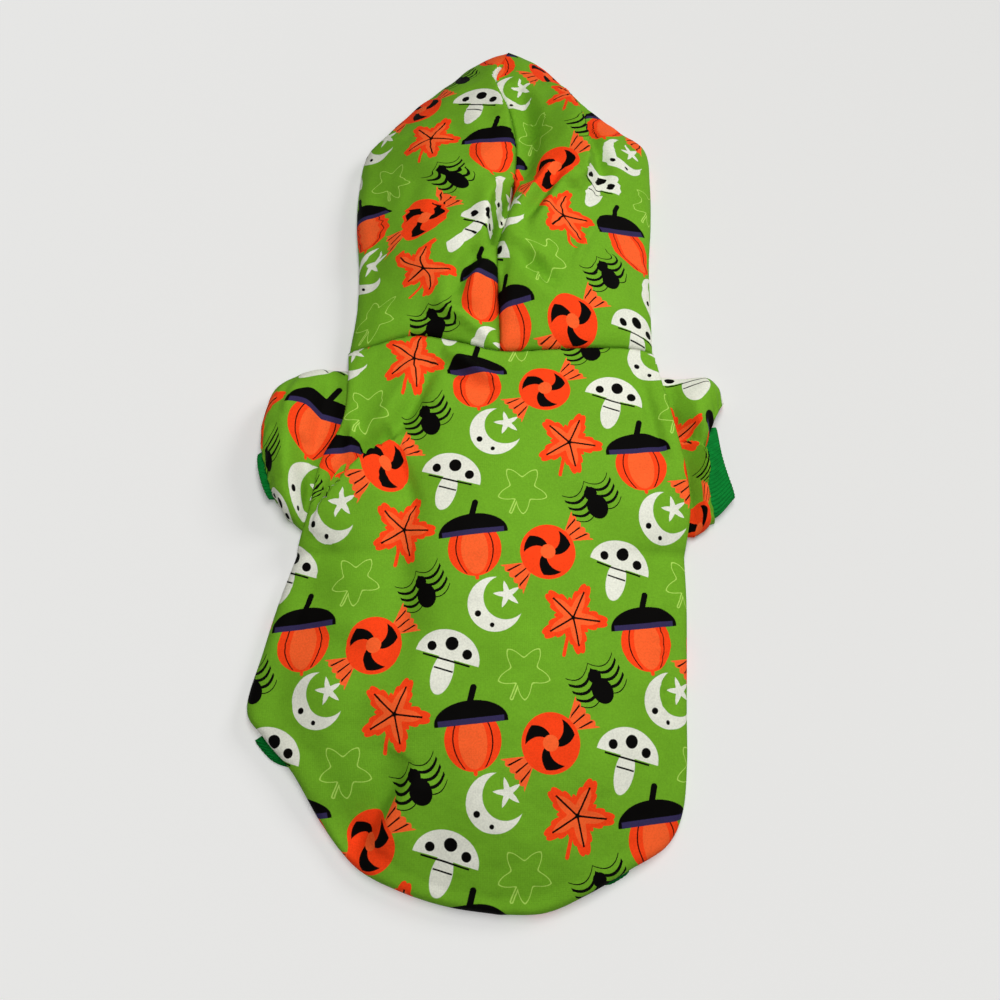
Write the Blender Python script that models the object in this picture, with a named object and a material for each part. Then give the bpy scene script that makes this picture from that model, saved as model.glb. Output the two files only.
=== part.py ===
import math

import bpy
import numpy as np

# Driving sizes, in metres
BODY_LENGTH = 0.300        # neck seam to the end of the tail, lying flat
BODY_HALF = 0.105          # half the back's width at the right armhole
HOOD_LENGTH = 0.227        # neck seam to the hood's tip
HOOD_HALF = 0.095          # half the hood's width above the neck
CLOTH = 0.0013             # wall of the printed jersey
RIB_CLOTH = 0.0018         # wall of the doubled rib knit
SEAM_GAP = 0.0003          # clearance between pieces that are sewn or lie together
NECK_LOFT = 0.022          # height of the top sheet at the neck seam
CHEST_LOFT = 0.024         # height of the top sheet at the chest
HOOD_LOFT = 0.037          # height of the hood's puff beside the crown seam
CROWN_VALLEY = 0.012       # deepest dip of the crown seam below the puff
CROWN_VALLEY_WIDTH = 0.015
EDGE_ROLL = 0.0045         # outer radius where cloth turns under
DOME_FLATNESS = 0.82       # exponent that flattens the top of a section
DOME_SIDE = 1.05           # exponent that rounds the side of a section
BODY_UNDER = 0.014         # how far the back turns under along its edge
HOOD_UNDER = 0.020         # width of the hood's turned-under hem
ARMHOLE_HEIGHT = 0.013     # height of a sleeve where it leaves the body
ARMHOLE_LAP = 0.012        # how far past the sleeve the back's edge comes down to the floor
LAP_CLEARANCE = 0.0012     # height of the back's edge above the sleeve that it laps
LAP_FLATNESS = 3           # exponents of the lapping edge's rise and fall along the body
LAP_SIDE = 0.65
SLEEVE_LOFT = 0.024        # height of a sleeve's puff
SLEEVE_ROLL = 0.0035       # outer radius of a sleeve's flattened sides
SLEEVE_FLATNESS = 3        # exponent that flattens the top of a sleeve's section
CUFF_HEIGHT = 0.0105
RIB_PITCH = 0.0022
RIB_DEPTH = 0.0004
WAIST_BAND = 0.018         # width of the waist band
BAND_CORNER = 0.0155       # how far the band's left corner runs out past the belly's corner
NECK_DIP = 0.007           # sag of the neck seam at its middle
NECK_DIP_REACH = 0.030

# Places along the back, as shares of its length from the tail
ARMHOLE_TOP = 0.965
ARMHOLE_FOOT = 0.635
BELLY_HEM = 0.275

# Mesh resolution
BACK_ROWS = 28
HOOD_ROWS = 22
DOME_STEPS = 10
ROLL_STEPS = 3
UNDER_STEPS = 2
BELLY_STEPS = 4
SLEEVE_ROWS = 9
SLEEVE_TOP_STEPS = 12
SLEEVE_UNDER_STEPS = 5
SIDE_STEPS = 2
CUFF_ROWS = 2
HEM_STEPS = 8
SEAM_ROWS = 2              # rows beside a seam over which folds fade out
EDGE_COLUMNS = 3           # columns beside a rolled edge over which folds fade out
SEARCH_STEPS = 700         # steps in which a place along the back's edge is looked up
MERGE_DIGITS = 5           # decimals of a metre to which shared points agree

# The back's edge, row by row from the neck seam to the tail. Spine and at are shares of the
# body's length from the tail, reach is a share of its half width, loft of the chest's loft.
BACK_COLUMNS = ("spine", "left_reach", "left_at", "right_reach", "right_at", "loft")
BACK_TABLE = (
    (1.000, 0.860, 1.000, 0.870, 1.000, NECK_LOFT / CHEST_LOFT),
    (0.930, 0.880, 0.932, 0.885, 0.935, 0.95),
    (0.850, 0.893, 0.845, 0.930, 0.850, 1.00),
    (0.765, 0.955, 0.760, 0.975, 0.765, 1.00),
    (0.680, 0.993, 0.675, 0.992, 0.680, 0.99),
    (0.600, 1.060, 0.600, 0.969, 0.600, 0.97),
    (0.515, 1.133, 0.515, 0.963, 0.510, 0.95),
    (0.440, 1.193, 0.428, 0.944, 0.410, 0.92),
    (0.375, 1.250, 0.325, 0.924, 0.315, 0.89),
    (0.335, 1.145, 0.272, 0.908, 0.230, 0.86),
    (0.300, 0.993, 0.216, 0.871, 0.155, 0.84),
    (0.270, 0.853, 0.141, 0.789, 0.106, 0.82),
    (0.245, 0.680, 0.074, 0.620, 0.073, 0.80),
    (0.225, 0.480, 0.039, 0.417, 0.036, 0.78),
    (0.212, 0.247, 0.015, 0.213, 0.006, 0.76),
    (0.205, 0.000, 0.003, 0.000, 0.003, 0.75),
)

# The hood's edge and crown seam, row by row from the neck seam to the tip. Seam_x and reach are
# shares of the hood's half width, seam_at and at of its length, loft of its loft, valley of the
# crown's valley, and under is the share of the half width that is turned under.
HOOD_COLUMNS = ("seam_x", "seam_at", "left_reach", "left_at", "right_reach", "right_at",
                "loft", "valley", "under")
NECK_SHARE = NECK_LOFT / HOOD_LOFT
HEM_SHARE = HOOD_UNDER / HOOD_HALF
HOOD_TABLE = (
    (0.000, 0.000, 0.951, 0.000, 0.962, 0.000, NECK_SHARE, 0.00, 0.951),
    (-0.010, 0.145, 0.917, 0.132, 0.967, 0.135, 0.93, 0.30, 0.420),
    (-0.010, 0.278, 0.922, 0.262, 0.975, 0.270, 1.00, 0.60, HEM_SHARE),
    (0.030, 0.405, 0.954, 0.394, 1.005, 0.402, 1.00, 1.00, HEM_SHARE),
    (0.100, 0.507, 0.953, 0.523, 1.018, 0.535, 0.98, 0.95, HEM_SHARE),
    (0.105, 0.608, 0.916, 0.630, 1.003, 0.640, 0.93, 0.70, HEM_SHARE),
    (0.065, 0.696, 0.781, 0.696, 0.850, 0.699, 0.86, 0.55, HEM_SHARE),
    (0.010, 0.767, 0.571, 0.804, 0.658, 0.777, 0.78, 0.45, 0.195),
    (-0.030, 0.824, 0.353, 0.886, 0.473, 0.873, 0.70, 0.35, 0.165),
    (-0.015, 0.863, 0.133, 0.966, 0.293, 0.953, 0.64, 0.25, 0.140),
    (0.020, 0.895, -0.072, 1.000, 0.075, 1.003, 0.60, 0.15, 0.130),
)

# Each sleeve beyond the body's edge, row by row to its end. Fore is the side by the neck and aft
# the side by the tail. Out is a share of the body's half width, at of its length, height of the
# sleeve's loft, and bow is how far the row bends toward the body, as a share of the half width.
SLEEVE_COLUMNS = ("fore_out", "fore_at", "aft_out", "aft_at", "height", "bow")
LEFT_SLEEVE = (
    (0.935, 0.970, 1.045, 0.640, ARMHOLE_HEIGHT / SLEEVE_LOFT, 0.000),
    (1.040, 0.970, 1.075, 0.648, 0.86, 0.000),
    (1.170, 0.948, 1.105, 0.657, 1.00, 0.000),
    (1.260, 0.918, 1.135, 0.663, 0.94, 0.000),
    (1.297, 0.865, 1.163, 0.680, 0.80, 0.000),
    (1.305, 0.819, 1.193, 0.692, 0.62, 0.000),
)
RIGHT_SLEEVE = (
    (0.925, 0.955, 1.030, 0.630, ARMHOLE_HEIGHT / SLEEVE_LOFT, 0.000),
    (1.010, 0.950, 1.060, 0.636, 0.76, 0.010),
    (1.090, 0.951, 1.080, 0.640, 0.90, 0.030),
    (1.168, 0.952, 1.103, 0.647, 0.92, 0.055),
    (1.224, 0.930, 1.122, 0.654, 0.82, 0.080),
    (1.250, 0.898, 1.143, 0.656, 0.62, 0.095),
)

# Each cuff from inside its sleeve to its free end, in the sleeve's columns, but with height as a
# share of the cuff's height
LEFT_CUFF = (
    (1.170, 0.812, 1.080, 0.708, 1.00, 0.000),
    (1.262, 0.802, 1.170, 0.702, 1.00, 0.000),
    (1.315, 0.790, 1.240, 0.702, 0.90, -0.010),
)
RIGHT_CUFF = (
    (1.060, 0.825, 1.020, 0.665, 1.00, 0.010),
    (1.150, 0.842, 1.145, 0.666, 1.00, 0.020),
    (1.188, 0.846, 1.258, 0.704, 0.90, 0.024),
)
SLEEVE_TABLES = {"left": LEFT_SLEEVE, "right": RIGHT_SLEEVE}
CUFF_TABLES = {"left": LEFT_CUFF, "right": RIGHT_CUFF}

# Folds in the cloth, each along a line. Lengths along x are shares of the half width and along
# y of the length of the panel, width and height are shares of the fold's own named sizes, steep
# narrows the fold's far side and lean tips its crest to that side.
FOLD_WIDTH = 0.010
FOLD_HEIGHT = 0.005
FOLD_COLUMNS = ("x1", "y1", "x2", "y2", "width", "height", "steep", "lean")
BACK_FOLDS = (
    (-0.98, 0.58, -0.45, 0.88, 1.3, 0.60, 0.80, 0.00),
    (-0.86, 0.86, -0.74, 0.72, 0.7, 0.35, 1.00, 0.00),
    (-0.62, 0.90, -0.42, 0.55, 1.2, 0.30, 0.80, 0.00),
    (-1.05, 0.45, -0.55, 0.30, 1.8, 0.25, 1.00, 0.00),
    (0.30, 0.75, 0.85, 0.60, 1.8, 0.20, 1.00, 0.00),
)
HOOD_FOLDS = (
    (0.52, 1.00, 0.30, 0.52, 1.1, 1.20, 0.90, 0.00),
    (0.10, 0.33, 0.60, 0.45, 1.5, 0.60, 1.00, 0.00),
    (-0.60, 0.62, -0.15, 0.45, 1.6, 0.60, 1.00, 0.00),
    (-0.70, 0.20, -0.15, 0.30, 1.5, 0.45, 1.00, 0.00),
    (0.30, 0.15, 0.80, 0.28, 1.5, 0.40, 1.00, 0.00),
)

GREEN_PRINT = (0.15, 0.37, 0.03, 1.0)
GREEN_RIB = (0.005, 0.17, 0.03, 1.0)
PRINT_ROUGHNESS = 0.75
RIB_ROUGHNESS = 0.85

# Where the waist band shows past the back's edge: the middle and spread of the stretch, as
# shares down the back's table, and the push outward as a share of the turned-under width
BAND_SHOWS = {"left": (0.617, 0.052, 1.50), "right": (0.826, 0.036, 1.20)}
BAND_SQUARENESS = 4        # exponent that keeps the stretch pushed out over most of its spread
BAND_LEAD_ROWS = 2.1       # rows past the stretch over which the back's edge stays lifted


def column(table, names, name):
    """One named column of a table."""
    place = names.index(name)
    return np.array([row[place] for row in table], dtype=float)


def read(table, names, name, shares):
    """A column read on a smooth curve through its rows, at shares of the way down the table."""
    values = column(table, names, name)
    slopes = np.gradient(values)
    spot = np.clip(np.asarray(shares) * (len(values) - 1), 0, len(values) - 1)
    first = np.minimum(spot.astype(int), len(values) - 2)
    t = spot - first
    start, end = values[first], values[first + 1]
    rise, fall = slopes[first], slopes[first + 1]
    return (start * (1 + 2 * t) * (1 - t) ** 2 + rise * t * (1 - t) ** 2
            + end * t * t * (3 - 2 * t) + fall * t * t * (t - 1))


def side_sign(side):
    """-1 on the left, 1 on the right."""
    return -1 if side == "left" else 1


def edge_lift(at):
    """How high the back's edge is carried over a sleeve, at a place along the body."""
    half = BODY_LENGTH * (ARMHOLE_TOP - ARMHOLE_FOOT) / 2
    middle = BODY_LENGTH * (ARMHOLE_TOP + ARMHOLE_FOOT) / 2
    across = np.clip(np.abs(BODY_LENGTH * at - middle) / (half + ARMHOLE_LAP), 0, 1)
    return (ARMHOLE_HEIGHT + LAP_CLEARANCE) * (1 - across ** LAP_FLATNESS) ** LAP_SIDE


def band_lift(shares, side):
    """How high the back's edge is carried over the waist band, to a row past where it shows."""
    middle, spread, push = BAND_SHOWS[side]
    over = np.clip((spread - np.abs(shares - middle)) * BACK_ROWS + BAND_LEAD_ROWS, 0, 1)
    return (RIB_CLOTH + LAP_CLEARANCE / 2) * over


def back_spokes(shares, side):
    """Start, end, loft and lift of the sections across one half of the back."""
    at = read(BACK_TABLE, BACK_COLUMNS, side + "_at", shares)
    reach = read(BACK_TABLE, BACK_COLUMNS, side + "_reach", shares)
    spine = read(BACK_TABLE, BACK_COLUMNS, "spine", shares)
    start = np.stack([np.zeros_like(spine), BODY_LENGTH * spine], 1)
    end = np.stack([side_sign(side) * BODY_HALF * reach, BODY_LENGTH * at], 1)
    loft = CHEST_LOFT * read(BACK_TABLE, BACK_COLUMNS, "loft", shares)
    lift = np.maximum(edge_lift(at), band_lift(shares, side))
    return start, end, loft, lift


def hood_spokes(shares, side):
    """Start, end, loft, valley and turned-under width of the sections across one hood half."""
    def value(name):
        return read(HOOD_TABLE, HOOD_COLUMNS, name, shares)

    sign = side_sign(side)
    start = np.stack([HOOD_HALF * value("seam_x"), BODY_LENGTH + HOOD_LENGTH * value("seam_at")], 1)
    end = np.stack([sign * HOOD_HALF * value(side + "_reach"),
                    BODY_LENGTH + HOOD_LENGTH * value(side + "_at")], 1)
    start[:, 0] += sign * SEAM_GAP / 2
    end[:, 0] += sign * SEAM_GAP / 2
    return (start, end, HOOD_LOFT * value("loft"), CROWN_VALLEY * value("valley"),
            HOOD_HALF * value("under"))


def spoke_lengths(start, end):
    """Length of each spoke, and its direction outward in plan."""
    reach = np.linalg.norm(end - start, axis=1)
    return reach, (end - start) / reach[:, None]


def dome_sections(start, end, loft, lift, under):
    """Sections over the dome, round the rolled edge and back under, one row for each spoke."""
    reach, outward = spoke_lengths(start, end)
    out, up = [], []
    for step in range(DOME_STEPS + 1):
        angle = math.pi / 2 * step / DOME_STEPS
        out.append(reach * math.sin(angle) ** DOME_FLATNESS)
        up.append(lift + EDGE_ROLL + (loft - lift - EDGE_ROLL) * max(math.cos(angle), 0) ** DOME_SIDE)
    for step in range(1, ROLL_STEPS + 1):
        angle = math.pi / 2 * step / ROLL_STEPS
        out.append(reach - EDGE_ROLL * (1 - math.cos(angle)))
        up.append(lift + EDGE_ROLL * (1 - math.sin(angle)))
    for step in range(1, UNDER_STEPS + 1):
        out.append(reach - EDGE_ROLL - (under - EDGE_ROLL) * step / UNDER_STEPS)
        up.append(lift)
    out, up = np.stack(out, 1), np.stack(up, 1)
    plan = start[:, None, :] + outward[:, None, :] * out[:, :, None]
    return np.concatenate([plan, up[:, :, None]], 2)


def add_folds(points, folds, half_width, origin_y, length, freedom):
    """Raise each fold of a table along its line, as far as the cloth is free to move."""
    for row in folds:
        fold = dict(zip(FOLD_COLUMNS, row))
        first = np.array([fold["x1"] * half_width, origin_y + fold["y1"] * length])
        last = np.array([fold["x2"] * half_width, origin_y + fold["y2"] * length])
        run = np.linalg.norm(last - first)
        along = (last - first) / run
        across = np.array([-along[1], along[0]])
        a = (points[:, :, :2] - first) @ along / run
        b = (points[:, :, :2] - first) @ across
        width = FOLD_WIDTH * fold["width"]
        spread = np.where(b > 0, width * fold["steep"], width)
        crest = np.exp(-(b / spread) ** 2) * np.sqrt(np.clip(4 * a * (1 - a), 0, 1)) * freedom
        points[:, :, 2] += FOLD_HEIGHT * fold["height"] * crest
        points[:, :, :2] += across * (fold["lean"] * width * crest)[:, :, None]


def cloth_freedom(rows, columns):
    """1 in the open top of a panel, falling to 0 at its first and last row and its rolled edge."""
    down = np.clip(np.minimum(np.arange(rows), rows - 1 - np.arange(rows)) / SEAM_ROWS, 0, 1)
    over = np.clip((DOME_STEPS - np.arange(columns)) / EDGE_COLUMNS, 0, 1)
    return down[:, None] * over[None, :]


def dip_neck(points):
    """Let the neck seam sag at its middle, on both panels that it joins."""
    away = np.abs(points[..., 1] - BODY_LENGTH) / NECK_DIP_REACH
    middle = np.clip(1 - (points[..., 0] / BODY_HALF) ** 2, 0, 1)
    raised = np.clip(points[..., 2] / NECK_LOFT, 0, 1)
    points[..., 1] -= NECK_DIP * np.exp(-away ** 2) * middle * raised


def back_grid(side):
    """Outer points of one half of the back, rows from the neck seam to the tail."""
    shares = np.linspace(0, 1, BACK_ROWS + 1)
    start, end, loft, lift = back_spokes(shares, side)
    grid = dome_sections(start, end, loft, lift, np.full(len(shares), BODY_UNDER))
    freedom = cloth_freedom(grid.shape[0], grid.shape[1])
    add_folds(grid, BACK_FOLDS, BODY_HALF, 0.0, BODY_LENGTH, freedom)
    grid[0, :, 1] -= SEAM_GAP / 2
    dip_neck(grid)
    return grid


def hood_grid(side):
    """Outer points of one half of the hood, rows from the neck seam to the tip."""
    shares = np.linspace(0, 1, HOOD_ROWS + 1)
    start, end, loft, valley, under = hood_spokes(shares, side)
    reach, outward = spoke_lengths(start, end)
    grid = dome_sections(start, end, loft, np.zeros(len(shares)), np.minimum(under, reach))
    top = grid[:, :DOME_STEPS + 1]
    from_seam = np.linalg.norm(top[:, :, :2] - start[:, None, :], axis=2)
    top[:, :, 2] -= valley[:, None] * np.exp(-(from_seam / CROWN_VALLEY_WIDTH) ** 2)
    freedom = cloth_freedom(grid.shape[0], grid.shape[1])
    freedom *= np.clip(np.arange(grid.shape[1]) / SEAM_ROWS, 0, 1)
    add_folds(grid, HOOD_FOLDS, HOOD_HALF, BODY_LENGTH, HOOD_LENGTH, freedom)
    grid[0, :, 1] += SEAM_GAP / 2
    dip_neck(grid)
    return grid


def inside_edge(shares, side, inward):
    """Plan points inward of the back's edge, by a length along its spokes."""
    start, end, loft, lift = back_spokes(shares, side)
    reach, outward = spoke_lengths(start, end)
    return end - outward * np.reshape(inward, (-1, 1))


def share_at(at, side):
    """The share down the back's table where its edge passes a place along the body."""
    shares = np.linspace(0, 1, SEARCH_STEPS + 1)
    edge = read(BACK_TABLE, BACK_COLUMNS, side + "_at", shares)
    return float(np.interp(-at, -edge, shares))


def belly_grid():
    """Points of the belly panel's under side, rows from the throat to the belly hem."""
    lasts = {side: share_at(BELLY_HEM, side) for side in ("left", "right")}
    count = math.ceil(max(lasts.values()) * BACK_ROWS)
    edges = {}
    for side, last in lasts.items():
        shares = np.minimum(np.arange(count + 1) / BACK_ROWS, last)
        edges[side] = inside_edge(shares, side, BODY_UNDER + SEAM_GAP)
    across = np.linspace(0, 1, BELLY_STEPS + 1)[None, :, None]
    plan = edges["left"][:, None, :] * (1 - across) + edges["right"][:, None, :] * across
    grid = np.concatenate([plan, np.zeros(plan.shape[:2] + (1,))], 2)
    grid[0, :, 1] -= SEAM_GAP / 2
    return grid


def tube_loop(fore, aft, height, bow, floor, roll):
    """A closed loop round a flattened tube, from its fore side over the top and back under."""
    run = aft - fore
    half = np.linalg.norm(run) / 2
    sideways = np.array([-run[1], run[0]]) / (2 * half)
    loop = []
    for step in range(SLEEVE_TOP_STEPS + 1):
        across = -math.cos(math.pi * step / SLEEVE_TOP_STEPS)
        rise = math.sqrt(1 - abs(across) ** SLEEVE_FLATNESS)
        loop.append((across, roll + (height - roll) * rise))
    turns = [math.pi / 2 * step / SIDE_STEPS for step in range(1, SIDE_STEPS + 1)]
    side = [(1 - roll * (1 - math.cos(angle)) / half, roll * (1 - math.sin(angle))) for angle in turns]
    loop += side
    flat = side[-1][0]
    for step in range(1, SLEEVE_UNDER_STEPS):
        loop.append((flat - 2 * flat * step / SLEEVE_UNDER_STEPS, 0.0))
    loop += [(-across, up) for across, up in reversed(side)]
    points = []
    for across, up in loop:
        spot = fore + run * (across + 1) / 2 + sideways * bow * (1 - across ** 2)
        points.append((spot[0], spot[1], floor + up))
    return np.array(points)


def tube_ends(table, share, side, loft):
    """Fore and aft points, height and bow of a sleeve or cuff at a share of the way along it."""
    sign = side_sign(side)
    value = {name: float(read(table, SLEEVE_COLUMNS, name, share)) for name in SLEEVE_COLUMNS}
    fore = np.array([sign * BODY_HALF * value["fore_out"], BODY_LENGTH * value["fore_at"]])
    aft = np.array([sign * BODY_HALF * value["aft_out"], BODY_LENGTH * value["aft_at"]])
    return fore, aft, loft * value["height"], -sign * BODY_HALF * value["bow"]


def armhole_loop(side):
    """A sleeve's first loop, which follows the turned-under end of the back."""
    first, last = share_at(ARMHOLE_TOP, side), share_at(ARMHOLE_FOOT, side)
    fore, aft = inside_edge(np.array([first, last]), side, BODY_UNDER)
    loop = tube_loop(fore, aft, ARMHOLE_HEIGHT, 0.0, 0.0, SLEEVE_ROLL)
    down = (fore[1] - loop[:, 1]) / (fore[1] - aft[1])
    loop[:, :2] = inside_edge(first + (last - first) * down, side, BODY_UNDER)
    return loop


def sleeve_grid(side):
    """Loops of one sleeve from the armhole to its end."""
    loops = [armhole_loop(side)]
    for share in np.linspace(0, 1, SLEEVE_ROWS):
        fore, aft, height, bow = tube_ends(SLEEVE_TABLES[side], share, side, SLEEVE_LOFT)
        loops.append(tube_loop(fore, aft, height, bow, 0.0, SLEEVE_ROLL))
    grid = np.array(loops)
    return np.concatenate([grid, grid[:, :1]], 1)


def evenly(loop, count):
    """Points at even steps round a closed loop."""
    closed = np.concatenate([loop, loop[:1]])
    steps = np.linalg.norm(np.diff(closed, axis=0), axis=1)
    travelled = np.concatenate([[0.0], np.cumsum(steps)])
    marks = np.linspace(0, travelled[-1], count, endpoint=False)
    return np.stack([np.interp(marks, travelled, closed[:, axis]) for axis in range(3)], 1)


def ribbed(loop, ribs):
    """A loop with a ridge and a groove for each rib, raised square to the loop."""
    points = evenly(loop, 2 * ribs)
    ahead = np.roll(points, -1, axis=0) - np.roll(points, 1, axis=0)
    middle = points.mean(0)
    axis = np.cross(points - middle, ahead).mean(0)
    across = np.cross(ahead, axis)
    across /= np.linalg.norm(across, axis=1)[:, None]
    wave = np.where(np.arange(2 * ribs) % 2 == 0, -0.5, 0.5)
    return points + across * (wave * RIB_DEPTH)[:, None]


def cuff_grid(side):
    """Loops of one cuff, from inside the sleeve to its free end."""
    floor = CLOTH + SEAM_GAP + RIB_DEPTH / 2
    loops = []
    for step in range(CUFF_ROWS + 1):
        fore, aft, height, bow = tube_ends(CUFF_TABLES[side], step / CUFF_ROWS, side, CUFF_HEIGHT)
        loops.append(tube_loop(fore, aft, height, bow, floor, SLEEVE_ROLL))
    round_loop = np.linalg.norm(loops[0] - np.roll(loops[0], 1, axis=0), axis=1).sum()
    ribs = round(round_loop / RIB_PITCH)
    grid = np.array([ribbed(loop, ribs) for loop in loops])
    return np.concatenate([grid, grid[:, :1]], 1)


def band_arc(side):
    """Outer and inner plan points of the waist band, from the belly hem's corner to the tail."""
    first = share_at(BELLY_HEM, side)
    steps = np.arange(BACK_ROWS + 1) / BACK_ROWS
    shares = np.concatenate([[first], steps[steps > first + 0.5 / BACK_ROWS]])
    middle, spread, push = BAND_SHOWS[side]
    shows = np.clip(1 - (np.abs(shares - middle) / spread) ** BAND_SQUARENESS, 0, 1)
    seam = BODY_UNDER + SEAM_GAP
    outer = inside_edge(shares, side, seam - push * BODY_UNDER * shows)
    inner = inside_edge(shares, side, seam + WAIST_BAND)
    return outer, inner, inside_edge(shares[:1], side, seam)[0]


def band_grid():
    """Pairs of outer and inner points round the waist band's upper face."""
    outer, inner, corner = {}, {}, {}
    for side in ("left", "right"):
        outer[side], inner[side], corner[side] = band_arc(side)
    hem = (corner["left"] - corner["right"]) / np.linalg.norm(corner["left"] - corner["right"])
    down = np.array([-hem[1], hem[0]])
    outer["left"][0] = corner["left"] + hem * BAND_CORNER + down * SEAM_GAP
    outer["right"][0] = corner["right"] + down * SEAM_GAP
    level = float(outer["right"][0] @ down) + WAIST_BAND
    arcs = {}
    for side in ("left", "right"):
        depth = inner[side] @ down
        first = int(np.argmax(depth > level))
        part = (level - depth[first - 1]) / (depth[first] - depth[first - 1])
        start = inner[side][first - 1] * (1 - part) + inner[side][first] * part
        arcs[side] = along_line(np.concatenate([[start], inner[side][first:]]), len(outer[side]) - 1)
    outside = np.concatenate([outer["left"], outer["right"][::-1][1:]])
    inside = np.concatenate([arcs["left"], arcs["right"][::-1][1:]])
    outer_hem = along_line(np.stack([outside[-1], outside[0]]), HEM_STEPS)
    inner_hem = along_line(np.stack([inside[-1], inside[0]]), HEM_STEPS)
    rim = np.concatenate([outside, outer_hem[1:]])
    hole = np.concatenate([inside, inner_hem[1:]])
    plan = np.stack([rim, hole], 1)
    return np.concatenate([plan, np.full(plan.shape[:2] + (1,), RIB_CLOTH)], 2)


def along_line(points, count):
    """Points at even steps along an open line."""
    steps = np.linalg.norm(np.diff(points, axis=0), axis=1)
    travelled = np.concatenate([[0.0], np.cumsum(steps)])
    marks = np.linspace(0, travelled[-1], count + 1)
    return np.stack([np.interp(marks, travelled, points[:, axis]) for axis in range(2)], 1)


def place(point):
    """A point's rounded place, the same for points that are shared."""
    return tuple(np.round(point, MERGE_DIGITS) + 0.0)


def join_grids(grids):
    """Vertices and quads of grids that share the points where they meet, facing outward."""
    numbers, verts, faces = {}, [], []
    for points, flip in grids:
        rows, columns = points.shape[:2]
        index = np.zeros((rows, columns), dtype=int)
        for i in range(rows):
            for j in range(columns):
                key = place(points[i, j])
                if key not in numbers:
                    numbers[key] = len(verts)
                    verts.append(points[i, j])
                index[i, j] = numbers[key]
        for i in range(rows - 1):
            for j in range(columns - 1):
                quad = [index[i, j], index[i, j + 1], index[i + 1, j + 1], index[i + 1, j]]
                corners = list(dict.fromkeys(quad[::-1] if flip else quad))
                if len(corners) > 2:
                    faces.append([int(corner) for corner in corners])
    return np.array(verts), faces


def vertex_normals(verts, faces):
    """Outward unit normal at each vertex."""
    normals = np.zeros_like(verts)
    for face in faces:
        a, b, c = verts[face[0]], verts[face[len(face) // 2]], verts[face[-1]]
        ring = np.cross(verts[face[1]] - a, b - a) + np.cross(b - a, c - a)
        for corner in face:
            normals[corner] += ring
    return normals / np.linalg.norm(normals, axis=1)[:, None]


def thicken(verts, faces, wall, seams):
    """A closed wall inward of a sheet, with its rim kept square to each named seam."""
    normals = vertex_normals(verts, faces)
    for line, across in seams:
        keys = {place(point) for point in line}
        for number, point in enumerate(verts):
            if place(point) in keys:
                normal = normals[number] - across * (normals[number] @ across)
                normals[number] = normal / np.linalg.norm(normal)
    count = len(verts)
    closed = list(faces) + [[corner + count for corner in reversed(face)] for face in faces]
    sides = {}
    for face in faces:
        for a, b in zip(face, face[1:] + face[:1]):
            sides[(a, b)] = True
    for a, b in sides:
        if (b, a) not in sides:
            closed.append([b, a, a + count, b + count])
    return np.concatenate([verts, verts - normals * wall]), closed


def across_plan(start, end):
    """A level unit vector square to a line in plan."""
    run = np.asarray(end[:2]) - np.asarray(start[:2])
    return np.array([-run[1], run[0], 0.0]) / np.linalg.norm(run)


def build_shapes():
    """Vertices, faces and material name of every piece, by name."""
    along = np.array([0.0, 1.0, 0.0])
    shapes = {}
    back = {side: back_grid(side) for side in ("left", "right")}
    verts, faces = join_grids([(back["left"], False), (back["right"], True)])
    necks = [(back[side][0], along) for side in ("left", "right")]
    shapes["back_panel"] = thicken(verts, faces, CLOTH, necks) + ("print_cloth",)
    for side in ("left", "right"):
        hood = hood_grid(side)
        verts, faces = join_grids([(hood, side == "left")])
        crown = across_plan(hood[0, 0], hood[-1, 0])
        tip = across_plan(hood[-1, 0], hood[-1, DOME_STEPS])
        seams = [(hood[:, 0], crown), (hood[-1], tip), (hood[0], along)]
        shapes["hood_" + side] = thicken(verts, faces, CLOTH, seams) + ("print_cloth",)
    verts, faces = join_grids([(belly_grid(), False)])
    shapes["belly_panel"] = thicken(verts, faces, CLOTH, []) + ("print_cloth",)
    for side in ("left", "right"):
        verts, faces = join_grids([(sleeve_grid(side), side == "left")])
        shapes["sleeve_" + side] = thicken(verts, faces, CLOTH, []) + ("print_cloth",)
        verts, faces = join_grids([(cuff_grid(side), side == "left")])
        shapes["cuff_" + side] = thicken(verts, faces, RIB_CLOTH, []) + ("rib_knit",)
    verts, faces = join_grids([(band_grid(), True)])
    shapes["waist_rib"] = thicken(verts, faces, RIB_CLOTH, []) + ("rib_knit",)
    return shapes


def make_material(name, colour, roughness):
    """A plain cloth material."""
    material = bpy.data.materials.new(name)
    material.use_nodes = True
    shader = material.node_tree.nodes["Principled BSDF"]
    shader.inputs["Base Color"].default_value = colour
    shader.inputs["Roughness"].default_value = roughness
    shader.inputs["Metallic"].default_value = 0.0
    return material


def make_piece(name, verts, faces, material):
    """A smooth-shaded object of a closed mesh."""
    mesh = bpy.data.meshes.new(name)
    mesh.from_pydata(verts.tolist(), [], faces)
    mesh.shade_smooth()
    piece = bpy.data.objects.new(name, mesh)
    bpy.context.scene.collection.objects.link(piece)
    piece.data.materials.append(material)


def main():
    """Build every piece, with the origin at the middle of the bottom of the whole."""
    for item in list(bpy.data.objects):
        bpy.data.objects.remove(item, do_unlink=True)
    materials = {
        "print_cloth": make_material("print_cloth", GREEN_PRINT, PRINT_ROUGHNESS),
        "rib_knit": make_material("rib_knit", GREEN_RIB, RIB_ROUGHNESS),
    }
    shapes = build_shapes()
    low = np.min([verts.min(0) for verts, faces, cloth in shapes.values()], axis=0)
    high = np.max([verts.max(0) for verts, faces, cloth in shapes.values()], axis=0)
    origin = np.array([(low[0] + high[0]) / 2, (low[1] + high[1]) / 2, low[2]])
    for name, (verts, faces, cloth) in shapes.items():
        make_piece(name, verts - origin, faces, materials[cloth])


main()
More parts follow.
